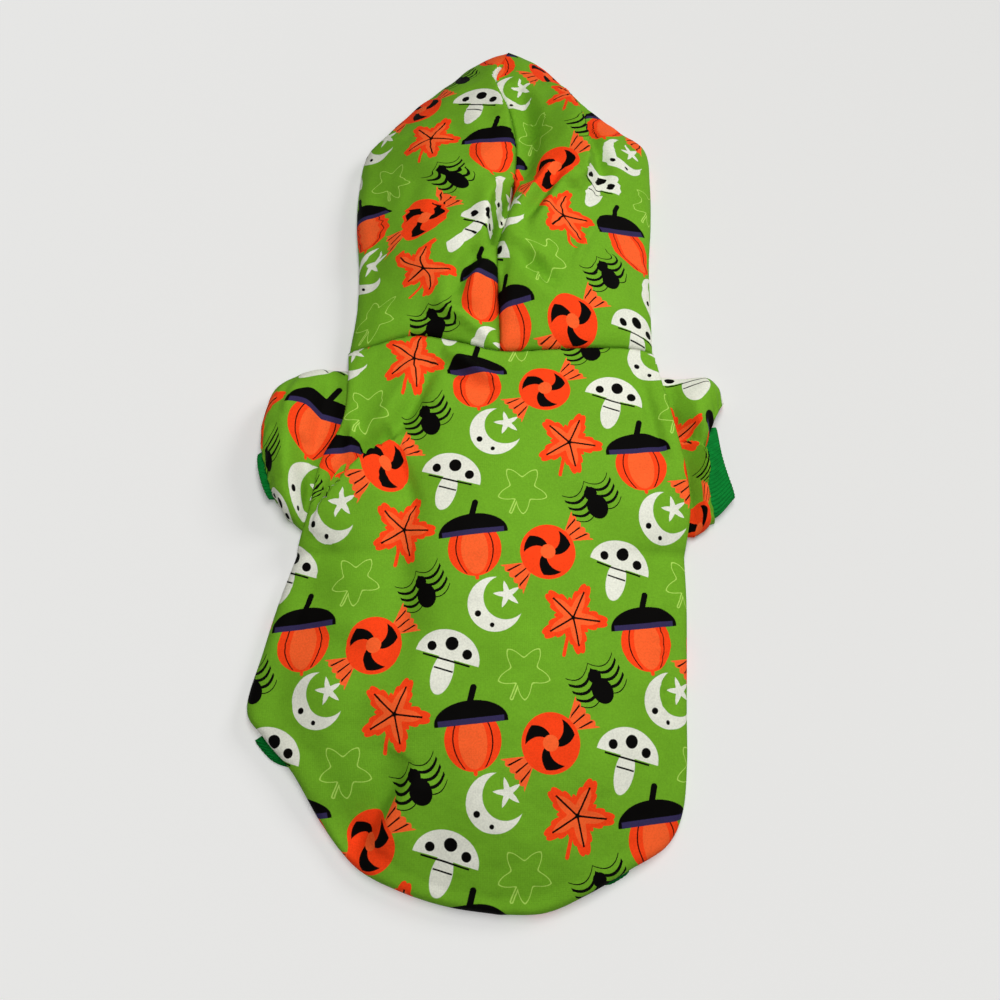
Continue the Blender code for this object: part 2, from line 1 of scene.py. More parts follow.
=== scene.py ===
import math

import bpy
import numpy as np
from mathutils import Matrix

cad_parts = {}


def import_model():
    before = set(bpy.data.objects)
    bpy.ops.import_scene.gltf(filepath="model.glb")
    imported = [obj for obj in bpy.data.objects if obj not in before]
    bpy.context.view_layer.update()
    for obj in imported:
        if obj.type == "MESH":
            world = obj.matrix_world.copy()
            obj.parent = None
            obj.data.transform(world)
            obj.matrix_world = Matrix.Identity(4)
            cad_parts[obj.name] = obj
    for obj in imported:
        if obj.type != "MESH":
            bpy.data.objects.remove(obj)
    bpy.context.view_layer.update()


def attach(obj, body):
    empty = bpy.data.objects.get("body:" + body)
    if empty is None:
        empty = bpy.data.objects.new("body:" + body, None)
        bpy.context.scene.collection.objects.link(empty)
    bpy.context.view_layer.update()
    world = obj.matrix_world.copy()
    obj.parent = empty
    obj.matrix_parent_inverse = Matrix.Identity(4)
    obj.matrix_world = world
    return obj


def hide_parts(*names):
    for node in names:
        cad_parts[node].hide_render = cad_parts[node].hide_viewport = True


# Sizes of the garment, in metres, in its own frame: x from the spine, y from the end of the tail
BODY_LENGTH = 0.300
BODY_HALF = 0.105
HOOD_LENGTH = 0.227
HOOD_HALF = 0.095
CLOTH = 0.0013
RIB_CLOTH = 0.0018
SEAM_GAP = 0.0003
NECK_LOFT = 0.022
CHEST_LOFT = 0.024
HOOD_LOFT = 0.037
CROWN_VALLEY = 0.012
CROWN_VALLEY_WIDTH = 0.015
EDGE_ROLL = 0.0045
DOME_FLATNESS = 0.82
DOME_SIDE = 1.05
BODY_UNDER = 0.014
HOOD_UNDER = 0.020
ARMHOLE_HEIGHT = 0.013
ARMHOLE_LAP = 0.012
LAP_CLEARANCE = 0.0012
LAP_FLATNESS = 3
LAP_SIDE = 0.65
SLEEVE_LOFT = 0.024
SLEEVE_ROLL = 0.0035
SLEEVE_FLATNESS = 3
CUFF_HEIGHT = 0.0105
RIB_PITCH = 0.0022
RIB_DEPTH = 0.0007
BAND_RIB_DEPTH = 0.0005
WAIST_BAND = 0.018
NECK_LINE = (0.000, 0.002, 0.007, 0.002, -0.005, -0.004, -0.002, 0.000, 0.000)
NECK_DIP_REACH = 0.030
ARMHOLE_TOP = 0.965
ARMHOLE_FOOT = 0.635
BELLY_HEM = 0.275

# Reaches over which folds and relief die away toward an edge or a seam, in metres
FREE_REACH = 0.012
RIM_REACH = 0.008
RELIEF_REACH = 0.010
NECK_FREE = 0.006
NECK_RELIEF = 0.008
NECK_PUCKER = 0.012
NECK_SWELL = 0.036

# How much fuller the panels lie at the middle, as a share of their loft, and how it fades
BACK_SWELL = 0.16
HOOD_SWELL = 0.10
SWELL_TURN = 1.25
SWELL_FADE = 0.15
SWELL_REACH = 0.04

# Seam grooves and puckers: depth and width in metres, and the bulge past the neck seam
BACK_GROOVE = (0.0008, 0.0020)
HOOD_GROOVE = (0.0008, 0.0014)
CROWN_GROOVE = (0.0013, 0.0013)
NECK_BULGE = (0.0018, 0.005)
NECK_BULGE_AT = 0.006
BACK_PUCKER = (0.00012, 0.007)
BACK_PUCKER_STEP = 0.0011
HOOD_PUCKER = (0.00015, 0.006)
HOOD_PUCKER_STEP = 0.0012

# Soft relief: height and wavelength in metres, and the seed of each layer
BACK_RELIEF = ((0.0011, 0.050, 3), (0.0004, 0.021, 4), (0.00016, 0.009, 5))
HOOD_RELIEF = ((0.0012, 0.045, 7), (0.0006, 0.021, 8), (0.00018, 0.009, 9))
SLEEVE_RELIEF = ((0.0011, 0.030, 11), (0.0003, 0.011, 12))
RIPPLE_LAYERS = 9

# Gathers at the end of a sleeve: height in metres, count and reach along the sleeve
GATHER_HEIGHT = 0.0009
GATHERS = 19
GATHER_REACH = 0.28

# The middle of the part's footprint, in the garment's own frame
MIDDLE = np.array([-0.0030406, 0.2642617, 0.0])

# Fineness of the meshes
BACK_ROWS = 200
BACK_COLUMNS_FINE = 82
HOOD_ROWS = 150
HOOD_COLUMNS_FINE = 80
DENSE = 160
SLEEVE_ROWS = 48
SLEEVE_STEPS = 130
CUFF_ROWS = 14
RIB_SAMPLES = 6
BELLY_ROWS = 60
BELLY_STEPS = 60
BAND_ROWS = 8
FOLD_SAMPLES = 40
MERGE_DIGITS = 6

BACK_COLUMNS = ("spine", "left_reach", "left_at", "right_reach", "right_at", "loft")
BACK_TABLE = (
    (1.000, 0.860, 1.000, 0.870, 1.000, NECK_LOFT / CHEST_LOFT),
    (0.930, 0.835, 0.932, 0.885, 0.935, 0.95),
    (0.850, 0.845, 0.845, 0.930, 0.850, 1.00),
    (0.765, 0.950, 0.760, 0.975, 0.765, 1.00),
    (0.680, 0.993, 0.675, 0.992, 0.680, 0.99),
    (0.600, 1.060, 0.600, 0.969, 0.600, 0.97),
    (0.515, 1.133, 0.515, 0.963, 0.510, 0.95),
    (0.440, 1.193, 0.428, 0.944, 0.410, 0.92),
    (0.375, 1.250, 0.325, 0.924, 0.315, 0.89),
    (0.335, 1.145, 0.272, 0.908, 0.230, 0.86),
    (0.300, 0.993, 0.216, 0.871, 0.155, 0.84),
    (0.270, 0.853, 0.141, 0.789, 0.106, 0.82),
    (0.245, 0.680, 0.074, 0.620, 0.073, 0.80),
    (0.225, 0.480, 0.039, 0.417, 0.036, 0.78),
    (0.212, 0.247, 0.015, 0.213, 0.006, 0.76),
    (0.205, 0.000, 0.003, 0.000, 0.003, 0.75),
)

HOOD_COLUMNS = ("seam_x", "seam_at", "left_reach", "left_at", "right_reach", "right_at",
                "loft", "valley", "under")
NECK_SHARE = NECK_LOFT / HOOD_LOFT
HEM_SHARE = HOOD_UNDER / HOOD_HALF
HOOD_TABLE = (
    (0.000, 0.000, 0.951, 0.000, 0.962, 0.000, NECK_SHARE, 0.00, 0.951),
    (-0.010, 0.145, 0.917, 0.132, 0.967, 0.135, 0.93, 0.30, 0.420),
    (-0.010, 0.278, 0.922, 0.262, 0.975, 0.270, 1.00, 0.60, HEM_SHARE),
    (0.060, 0.405, 0.954, 0.394, 1.005, 0.402, 1.00, 1.00, HEM_SHARE),
    (0.100, 0.507, 0.953, 0.523, 1.018, 0.535, 0.98, 0.95, HEM_SHARE),
    (0.105, 0.608, 0.916, 0.630, 1.003, 0.640, 0.93, 0.70, HEM_SHARE),
    (0.065, 0.696, 0.781, 0.696, 0.850, 0.699, 0.86, 0.55, HEM_SHARE),
    (0.010, 0.767, 0.571, 0.804, 0.658, 0.777, 0.78, 0.45, 0.195),
    (-0.030, 0.824, 0.353, 0.886, 0.473, 0.873, 0.70, 0.35, 0.165),
    (-0.015, 0.863, 0.133, 0.966, 0.293, 0.953, 0.64, 0.25, 0.140),
    (0.020, 0.895, -0.072, 1.000, 0.075, 1.003, 0.60, 0.15, 0.130),
)

SLEEVE_COLUMNS = ("fore_out", "fore_at", "aft_out", "aft_at", "height", "bow")
LEFT_SLEEVE = (
    (0.935, 0.970, 1.045, 0.640, ARMHOLE_HEIGHT / SLEEVE_LOFT, 0.000),
    (1.040, 0.970, 1.075, 0.648, 0.86, 0.000),
    (1.170, 0.948, 1.105, 0.657, 1.00, 0.000),
    (1.260, 0.918, 1.135, 0.663, 0.94, 0.000),
    (1.297, 0.865, 1.163, 0.680, 0.80, 0.000),
    (1.305, 0.819, 1.193, 0.692, 0.62, 0.000),
)
RIGHT_SLEEVE = (
    (0.925, 0.955, 1.030, 0.630, ARMHOLE_HEIGHT / SLEEVE_LOFT, 0.000),
    (1.010, 0.950, 1.060, 0.636, 0.76, 0.010),
    (1.090, 0.951, 1.080, 0.640, 0.90, 0.030),
    (1.168, 0.952, 1.103, 0.647, 0.92, 0.055),
    (1.224, 0.930, 1.122, 0.654, 0.82, 0.080),
    (1.250, 0.898, 1.143, 0.656, 0.62, 0.095),
)
LEFT_CUFF = (
    (1.170, 0.812, 1.080, 0.708, 1.00, 0.000),
    (1.262, 0.802, 1.170, 0.702, 1.00, 0.000),
    (1.315, 0.790, 1.240, 0.702, 0.90, -0.010),
)
RIGHT_CUFF = (
    (1.060, 0.825, 1.020, 0.665, 1.00, 0.010),
    (1.150, 0.842, 1.145, 0.666, 1.00, 0.020),
    (1.188, 0.846, 1.258, 0.704, 0.90, 0.024),
)
SLEEVE_TABLES = {"left": LEFT_SLEEVE, "right": RIGHT_SLEEVE}
CUFF_TABLES = {"left": LEFT_CUFF, "right": RIGHT_CUFF}

# Where the waist band shows past the back's edge: middle, spread and push outward
BAND_SHOWS = {"left": (0.617, 0.052, 1.50), "right": (0.826, 0.036, 1.20)}
BAND_SQUARENESS = 4
BAND_LEAD = 0.075
BAND_CORNER = 0.0155

# Folds: the line of the crest in millimetres, and then, in millimetres too, the height, the
# width on the left and right of the line's direction, and how far the crest leans to the left
BACK_FOLDS = (
    (((-54, 243), (-68, 230), (-79, 218), (-92, 204), (-103, 188)), 8.8, 15.0, 2.6, -4.5),
    (((-60, 246), (-75, 234), (-88, 218), (-99, 202)), -10.8, 3.0, 6.0, 0.0),
    (((-84, 254), (-82, 238), (-84, 222)), 4.6, 3.4, 3.4, 0.0),
    (((-36, 286), (-50, 260), (-63, 240)), -5.4, 5.0, 4.5, 0.0),
    (((-48, 286), (-61, 262), (-73, 245)), 2.4, 5.0, 5.0, 0.0),
    (((-58, 242), (-54, 225), (-45, 200)), -4.6, 4.0, 6.5, 0.0),
    (((-40, 264), (-50, 231), (-53, 188), (-51, 146), (-57, 102)), -4.9, 12.0, 12.0, 0.0),
    (((-33, 293), (-17, 286), (0, 279)), 4.3, 3.0, 3.5, 0.0),
    (((-36, 285), (-19, 278), (-3, 270)), -4.1, 4.0, 4.0, 0.0),
    (((8, 290), (22, 282), (34, 268)), 1.6, 5.0, 5.0, 0.0),
    (((-106, 144), (-83, 140), (-58, 131)), 2.2, 6.0, 8.0, 0.0),
    (((-118, 122), (-90, 108), (-55, 88)), 1.9, 18.0, 12.0, 0.0),
    (((-47, 74), (-56, 56), (-66, 39), (-76, 28)), -7.0, 5.0, 11.0, 0.0),
    (((-38, 66), (-50, 48), (-61, 31)), 3.4, 8.0, 6.0, 0.0),
    (((88, 176), (84, 131), (83, 91), (83, 60)), 2.4, 3.0, 5.0, 0.0),
    (((79, 286), (86, 254), (92, 226)), -3.5, 4.0, 5.0, 0.0),
    (((30, 225), (60, 205), (90, 185)), 1.6, 14.0, 12.0, 0.0),
    (((70, 122), (50, 80), (40, 48)), 1.6, 14.0, 12.0, 0.0),
)
HOOD_FOLDS = (
    (((-1, 507), (-5, 487), (-3, 474), (2, 458), (6, 438), (7, 420)), 5.6, 2.4, 9.0, 2.2),
    (((10, 486), (17, 463), (20, 441), (18, 423), (13, 406)), -8.1, 6.0, 6.0, 0.0),
    (((37, 494), (43, 468), (46, 448), (49, 430), (50, 412), (45, 396)), 10.6, 3.2, 12.0, 4.5),
    (((48, 478), (54, 454), (60, 432), (61, 414), (58, 396)), -9.0, 7.0, 4.0, 0.0),
    (((9, 407), (3, 389), (-1, 374), (-4, 358)), -11.9, 3.4, 3.2, 0.0),
    (((-1, 404), (-8, 386), (-10, 368), (-9, 352)), 6.2, 2.6, 8.0, 2.8),
    (((15, 404), (9, 385), (5, 366), (3, 348)), 5.2, 8.0, 2.6, -1.5),
    (((32, 416), (21, 397), (10, 379)), 4.0, 3.0, 3.0, 0.0),
    (((36, 410), (25, 390), (14, 371)), -4.5, 2.6, 2.6, 0.0),
    (((42, 407), (29, 384), (17, 361)), 4.2, 4.5, 3.0, 0.0),
    (((58, 376), (50, 359), (43, 344)), 3.0, 2.4, 3.0, 0.0),
    (((55, 412), (56, 399), (56, 385)), 1.5, 2.0, 2.0, 0.0),
    (((62, 415), (62, 400), (63, 386)), 1.5, 2.0, 2.0, 0.0),
    (((-14, 355), (-21, 340), (-27, 324)), -6.2, 4.5, 4.5, 0.0),
    (((-7, 348), (-13, 333), (-17, 319)), 4.5, 4.0, 4.0, -1.0),
    (((11, 358), (22, 342), (35, 333)), -6.2, 4.0, 4.5, 0.0),
    (((5, 366), (17, 352), (30, 345)), 4.2, 4.0, 4.0, 0.0),
    (((14, 341), (25, 329), (39, 323)), 2.2, 6.0, 6.0, 0.0),
    (((2, 350), (-1, 328), (-3, 304)), -5.5, 4.0, 3.2, 0.0),
    (((-38, 320), (-22, 311), (-5, 304)), 4.6, 4.0, 3.4, 0.0),
    (((-30, 312), (-18, 306), (-8, 302)), -3.6, 2.4, 2.4, 0.0),
    (((-60, 440), (-38, 412), (-16, 400)), 2.0, 10.0, 9.0, 0.0),
    (((-34, 470), (-28, 440), (-10, 420)), -1.8, 8.0, 8.0, 0.0),
    (((-68, 345), (-40, 356), (-16, 372)), 2.2, 12.0, 10.0, 0.0),
    (((26, 312), (52, 318), (80, 330)), 2.2, 8.0, 8.0, 0.0),
    (((62, 446), (70, 424), (82, 410)), 1.8, 7.0, 7.0, 0.0),
)
LEFT_SLEEVE_FOLDS = (
    (((-90, 290), (-93, 268), (-96, 248)), -6.5, 3.0, 5.0, 0.0),
    (((-103, 286), (-107, 264), (-108, 240)), 2.1, 4.0, 5.0, 0.0),
    (((-112, 244), (-109, 224), (-107, 204)), -5.2, 3.0, 4.0, 0.0),
    (((-121, 268), (-118, 240), (-114, 212)), 2.0, 5.0, 5.0, 0.0),
    (((-118, 286), (-122, 272), (-124, 256)), -2.0, 3.0, 3.0, 0.0),
)
RIGHT_SLEEVE_FOLDS = (
    (((93, 236), (105, 238), (111, 231), (113, 216)), 5.5, 1.8, 8.0, 2.5),
    (((95, 243), (107, 244), (114, 236), (117, 224)), -7.0, 5.0, 2.4, 0.0),
    (((103, 278), (110, 262), (112, 248)), 1.8, 5.0, 5.0, 0.0),
    (((98, 262), (104, 252), (112, 246)), -1.8, 3.0, 4.0, 0.0),
    (((107, 224), (109, 210), (110, 198)), 1.6, 4.0, 4.0, 0.0),
)
SLEEVE_FOLDS = {"left": LEFT_SLEEVE_FOLDS, "right": RIGHT_SLEEVE_FOLDS}


def read(table, names, name, shares):
    """A column read on a smooth curve through its rows, at shares of the way down the table."""
    place = names.index(name)
    return smooth(np.array([row[place] for row in table], dtype=float), shares)


def smooth(values, shares):
    """Values read on a smooth curve through evenly spaced ones."""
    slopes = np.gradient(values)
    spot = np.clip(np.asarray(shares) * (len(values) - 1), 0, len(values) - 1)
    first = np.minimum(spot.astype(int), len(values) - 2)
    t = spot - first
    start, end = values[first], values[first + 1]
    rise, fall = slopes[first], slopes[first + 1]
    return (start * (1 + 2 * t) * (1 - t) ** 2 + rise * t * (1 - t) ** 2
            + end * t * t * (3 - 2 * t) + fall * t * t * (t - 1))


def side_sign(side):
    """-1 on the left, 1 on the right."""
    return -1 if side == "left" else 1


def ease(value):
    """A smooth step from 0 to 1."""
    t = np.clip(value, 0, 1)
    return t * t * (3 - 2 * t)


def edge_lift(at):
    """How high the back's edge is carried over a sleeve, at a place along the body."""
    half = BODY_LENGTH * (ARMHOLE_TOP - ARMHOLE_FOOT) / 2
    middle = BODY_LENGTH * (ARMHOLE_TOP + ARMHOLE_FOOT) / 2
    across = np.clip(np.abs(BODY_LENGTH * at - middle) / (half + ARMHOLE_LAP), 0, 1)
    return (ARMHOLE_HEIGHT + LAP_CLEARANCE) * (1 - across ** LAP_FLATNESS) ** LAP_SIDE


def band_lift(shares, side):
    """How high the back's edge is carried over the waist band, to a little past where it shows."""
    middle, spread, push = BAND_SHOWS[side]
    over = ease((spread + BAND_LEAD - np.abs(shares - middle)) / BAND_LEAD)
    return (RIB_CLOTH + LAP_CLEARANCE / 2) * over


def back_spokes(shares, side):
    """Start, end, loft and lift of the sections across one half of the back."""
    at = read(BACK_TABLE, BACK_COLUMNS, side + "_at", shares)
    reach = read(BACK_TABLE, BACK_COLUMNS, side + "_reach", shares)
    spine = read(BACK_TABLE, BACK_COLUMNS, "spine", shares)
    start = np.stack([np.zeros_like(spine), BODY_LENGTH * spine], 1)
    end = np.stack([side_sign(side) * BODY_HALF * reach, BODY_LENGTH * at], 1)
    loft = CHEST_LOFT * read(BACK_TABLE, BACK_COLUMNS, "loft", shares)
    lift = np.maximum(edge_lift(at), band_lift(shares, side))
    return start, end, loft, lift


def hood_spokes(shares, side):
    """Start, end, loft, valley and turned-under width of the sections across one hood half."""
    def value(name):
        return read(HOOD_TABLE, HOOD_COLUMNS, name, shares)

    sign = side_sign(side)
    start = np.stack([HOOD_HALF * value("seam_x"),
                      BODY_LENGTH + HOOD_LENGTH * value("seam_at")], 1)
    end = np.stack([sign * HOOD_HALF * value(side + "_reach"),
                    BODY_LENGTH + HOOD_LENGTH * value(side + "_at")], 1)
    return (start, end, HOOD_LOFT * value("loft"), CROWN_VALLEY * value("valley"),
            HOOD_HALF * value("under"))


def spoke_lengths(start, end):
    """Length of each spoke, and its direction outward in plan."""
    reach = np.linalg.norm(end - start, axis=1)
    return reach, (end - start) / np.maximum(reach, 1e-9)[:, None]


def even_sections(start, end, loft, lift, under, valley, columns):
    """Points across a panel at even steps of cloth, and how far each lies in from the edge."""
    reach, outward = spoke_lengths(start, end)
    under = np.minimum(under, reach)
    angle = np.linspace(0, math.pi / 2, DENSE)
    dome_out = reach[:, None] * np.sin(angle) ** DOME_FLATNESS
    rise = (loft - lift - EDGE_ROLL)[:, None] * np.clip(np.cos(angle), 0, 1) ** DOME_SIDE
    dome_up = (lift + EDGE_ROLL)[:, None] + rise
    dome_up -= valley[:, None] * np.exp(-(dome_out / CROWN_VALLEY_WIDTH) ** 2)
    turn = np.linspace(0, math.pi / 2, DENSE // 8)[1:]
    roll_out = reach[:, None] - EDGE_ROLL * (1 - np.cos(turn))
    roll_up = lift[:, None] + EDGE_ROLL * (1 - np.sin(turn))
    share = np.linspace(0, 1, DENSE // 8)[1:]
    flat_out = (reach - EDGE_ROLL)[:, None] - np.clip(under - EDGE_ROLL, 0, None)[:, None] * share
    flat_up = np.repeat(lift[:, None], len(share), 1)
    out = np.concatenate([dome_out, roll_out, flat_out], 1)
    up = np.concatenate([dome_up, roll_up, flat_up], 1)
    steps = np.hypot(np.diff(out, axis=1), np.diff(up, axis=1))
    length = np.concatenate([np.zeros((len(reach), 1)), np.cumsum(steps, axis=1)], 1)
    even = np.linspace(0, 1, columns) * length[:, -1:]
    spread = np.array([np.interp(e, l, o) for e, l, o in zip(even, length, out)])
    height = np.array([np.interp(e, l, u) for e, l, u in zip(even, length, up)])
    plan = start[:, None, :] + outward[:, None, :] * spread[:, :, None]
    return np.concatenate([plan, height[:, :, None]], 2), length[:, DENSE - 1:DENSE] - even


def fold_line(points):
    """A fold's crest as many points on a smooth line, in metres."""
    points = np.array(points, dtype=float) / 1000
    shares = np.linspace(0, 1, FOLD_SAMPLES)
    return np.stack([smooth(points[:, 0], shares), smooth(points[:, 1], shares)], 1)


def add_fold(grid, plan, freedom, fold):
    """Raise one fold of the cloth, as far as the cloth is free to move."""
    points, height, left, right, lean = fold
    line = fold_line(points)
    tangent = np.gradient(line, axis=0)
    tangent /= np.linalg.norm(tangent, axis=1)[:, None]
    flat = plan.reshape(-1, 2)
    near = np.argmin(((flat[:, None, :] - line[None, :, :]) ** 2).sum(2), axis=1)
    offset = flat - line[near]
    along = tangent[near]
    across = np.stack([-along[:, 1], along[:, 0]], 1)
    aside = (offset * across).sum(1)
    past = (offset * along).sum(1)
    width = np.where(aside > 0, left, right) / 1000
    taper = np.sqrt(np.sin(math.pi * near / (FOLD_SAMPLES - 1)).clip(0, 1))
    taper = taper * np.exp(-(past / (0.5 * width)) ** 2)
    crest = (np.exp(-(aside / width) ** 2) * taper * freedom.ravel()).reshape(grid.shape[:2])
    grid[:, :, 2] += height / 1000 * crest
    grid[:, :, :2] += across.reshape(grid.shape[:2] + (2,)) * (lean / 1000 * crest)[:, :, None]


def add_folds(grid, folds, freedom):
    """Raise every fold of a table."""
    plan = grid[:, :, :2].copy()
    for fold in folds:
        add_fold(grid, plan, freedom, fold)


def ripples(points, wavelength, seed):
    """Gentle undulation between about -1 and 1, the same each run."""
    dice = np.random.default_rng(seed)
    total = np.zeros(points.shape[:-1])
    for _ in range(RIPPLE_LAYERS):
        heading = dice.uniform(0, 2 * math.pi)
        scale = 2 * math.pi / (wavelength * dice.uniform(0.7, 1.5))
        phase = dice.uniform(0, 2 * math.pi)
        total += np.sin(scale * (points[..., 0] * math.cos(heading)
                                 + points[..., 1] * math.sin(heading)) + phase)
    return total * 2 / RIPPLE_LAYERS


def relief(points, layers):
    """Soft relief of several layers of ripples."""
    return sum(height * ripples(points, wavelength, seed) for height, wavelength, seed in layers)


def dent(distance, shape):
    """A rounded dent of a depth and a width, by the distance from its line."""
    depth, width = shape
    return depth * np.exp(-(distance / width) ** 2)


def dip_neck(points):
    """Let the neck seam wander, on both panels that it joins."""
    away = np.abs(points[..., 1] - BODY_LENGTH) / NECK_DIP_REACH
    across = (points[..., 0] / BODY_HALF + 1) / 2
    raised = np.clip(points[..., 2] / NECK_LOFT, 0, 1)
    points[..., 1] += smooth(np.array(NECK_LINE), across) * np.exp(-away ** 2) * raised


def print_places(grid, start, outward):
    """Flat places on the cloth of a panel's points, by the cloth's length along each section."""
    steps = np.linalg.norm(np.diff(grid, axis=1), axis=2)
    length = np.concatenate([np.zeros((len(grid), 1)), np.cumsum(steps, axis=1)], 1)
    return start[:, None, :] + outward[:, None, :] * length[:, :, None]


def swell(grid, start, reach, inset, rise):
    """Fuller at the middle of a panel and slacker toward its side, on the upper face alone."""
    share = np.linalg.norm(grid[:, :, :2] - start[:, None, :], axis=2) / reach[:, None]
    fade = ease((1 - share) / SWELL_FADE) * ease(reach / SWELL_REACH)[:, None]
    fade = fade * ease(inset / RIM_REACH)
    grid[:, :, 2] += rise[:, None] * np.cos(SWELL_TURN * math.pi * share.clip(0, 1)) * fade


def back_half(side):
    """Points of one half of the back's outer face, and their places on the print."""
    shares = np.linspace(0, 1, BACK_ROWS + 1)
    start, end, loft, lift = back_spokes(shares, side)
    count = len(shares)
    grid, inset = even_sections(start, end, loft, lift, np.full(count, BODY_UNDER),
                                np.zeros(count), BACK_COLUMNS_FINE)
    from_neck = BODY_LENGTH - grid[:, :, 1]
    reach, outward = spoke_lengths(start, end)
    open_loft = loft - edge_lift(start[:, 1] / BODY_LENGTH)
    swell(grid, start, reach, inset, BACK_SWELL * open_loft * ease(from_neck[:, 0] / NECK_SWELL))
    add_folds(grid, BACK_FOLDS, ease(inset / FREE_REACH) * ease(from_neck / NECK_FREE))
    grid[:, :, 2] -= dent(BODY_LENGTH - grid[:, :, 1], BACK_GROOVE) * ease(inset / RIM_REACH)
    pucker = dent(from_neck, BACK_PUCKER) * np.sin(grid[:, :, 0] / BACK_PUCKER_STEP)
    waves = relief(grid, BACK_RELIEF) * ease(from_neck / NECK_RELIEF) + pucker
    grid[:, :, 2] += waves * ease(inset / RELIEF_REACH)
    dip_neck(grid)
    return grid, print_places(grid, start, outward)


def hood_half(side):
    """Points of one half of the hood's outer face, and their places on the print."""
    shares = np.linspace(0, 1, HOOD_ROWS + 1)
    start, end, loft, valley, under = hood_spokes(shares, side)
    grid, inset = even_sections(start, end, loft, np.zeros(len(shares)), under, valley,
                                HOOD_COLUMNS_FINE)
    from_neck = grid[:, :, 1] - BODY_LENGTH
    reach, outward = spoke_lengths(start, end)
    swell(grid, start, reach, inset, HOOD_SWELL * loft * ease(from_neck[:, 0] / NECK_SWELL))
    from_seam = np.linalg.norm(grid[:, :, :2] - start[:, None, :], axis=2)
    add_folds(grid, HOOD_FOLDS, ease(inset / FREE_REACH) * ease(from_neck / NECK_FREE))
    past_neck = grid[:, :, 1] - BODY_LENGTH
    seams = dent(past_neck - NECK_BULGE_AT, NECK_BULGE) - dent(past_neck, HOOD_GROOVE)
    seams = seams - dent(from_seam, CROWN_GROOVE)
    grid[:, :, 2] += seams * ease(inset / RIM_REACH)
    pucker = dent(from_seam, HOOD_PUCKER) * np.sin(grid[:, :, 1] / HOOD_PUCKER_STEP)
    waves = relief(grid, HOOD_RELIEF) * ease(from_neck / NECK_RELIEF)
    waves = waves + pucker * ease(from_neck / NECK_PUCKER)
    grid[:, :, 2] += waves * ease(inset / RELIEF_REACH)
    dip_neck(grid)
    return grid, print_places(grid, start, outward)


def inside_edge(shares, side, inward):
    """Plan points inward of the back's edge, by a length along its spokes."""
    start, end, _, _ = back_spokes(shares, side)
    _, outward = spoke_lengths(start, end)
    return end - outward * np.reshape(inward, (-1, 1))


def share_at(at, side):
    """The share down the back's table where its edge passes a place along the body."""
    shares = np.linspace(0, 1, 1401)
    edge = read(BACK_TABLE, BACK_COLUMNS, side + "_at", shares)
    return float(np.interp(-at, -edge, shares))


def belly_sheet():
    """Points of the belly panel's under face, and their places on the print."""
    edges = {}
    for side in ("left", "right"):
        shares = np.linspace(0, share_at(BELLY_HEM, side), BELLY_ROWS + 1)
        edges[side] = inside_edge(shares, side, BODY_UNDER + SEAM_GAP)
    across = np.linspace(0, 1, BELLY_STEPS + 1)[None, :, None]
    plan = edges["left"][:, None, :] * (1 - across) + edges["right"][:, None, :] * across
    grid = np.concatenate([plan, np.zeros(plan.shape[:2] + (1,))], 2)
    return grid, plan.copy()


def tube_loop(fore, aft, height, bow, floor, roll, count):
    """A closed loop round a flattened tube, from its fore side over the top and back under."""
    run = aft - fore
    half = np.linalg.norm(run) / 2
    sideways = np.array([-run[1], run[0]]) / (2 * half)
    angle = np.linspace(0, math.pi, 4 * count)
    over = -np.cos(angle)
    rise = roll + (height - roll) * np.sqrt(np.clip(1 - np.abs(over) ** SLEEVE_FLATNESS, 0, 1))
    turn = np.linspace(0, math.pi / 2, count)[1:]
    side_over = 1 - roll * (1 - np.cos(turn)) / half
    side_up = roll * (1 - np.sin(turn))
    flat = np.linspace(side_over[-1], -side_over[-1], count)[1:-1]
    over = np.concatenate([over, side_over, flat, -side_over[::-1]])
    up = np.concatenate([rise, side_up, np.zeros(len(flat)), side_up[::-1]])
    plan = fore + run * (over[:, None] + 1) / 2 + sideways * bow * (1 - over[:, None] ** 2)
    return np.concatenate([plan, floor + up[:, None]], 1)


def tube_ends(table, share, side, loft):
    """Fore and aft points, height and bow of a sleeve or cuff at a share of the way along it."""
    sign = side_sign(side)
    value = {name: float(read(table, SLEEVE_COLUMNS, name, share)) for name in SLEEVE_COLUMNS}
    fore = np.array([sign * BODY_HALF * value["fore_out"], BODY_LENGTH * value["fore_at"]])
    aft = np.array([sign * BODY_HALF * value["aft_out"], BODY_LENGTH * value["aft_at"]])
    return fore, aft, loft * value["height"], -sign * BODY_HALF * value["bow"]


def along_line(points, count):
    """Points at even steps along an open line."""
    steps = np.linalg.norm(np.diff(points, axis=0), axis=1)
    travelled = np.concatenate([[0.0], np.cumsum(steps)])
    marks = np.linspace(0, travelled[-1], count + 1)
    return np.stack([np.interp(marks, travelled, values) for values in points.T], 1)


def evenly(loop, count):
    """Points at even steps round a closed loop, starting at its first point."""
    return along_line(np.concatenate([loop, loop[:1]]), count)[:-1]


def armhole_loop(side):
    """A sleeve's first loop, which follows the turned-under end of the back."""
    first, last = share_at(ARMHOLE_TOP, side), share_at(ARMHOLE_FOOT, side)
    fore, aft = inside_edge(np.array([first, last]), side, BODY_UNDER)
    loop = tube_loop(fore, aft, ARMHOLE_HEIGHT, 0.0, 0.0, SLEEVE_ROLL, DENSE)
    down = (fore[1] - loop[:, 1]) / (fore[1] - aft[1])
    loop[:, :2] = inside_edge(first + (last - first) * down, side, BODY_UNDER)
    return evenly(loop, SLEEVE_STEPS)


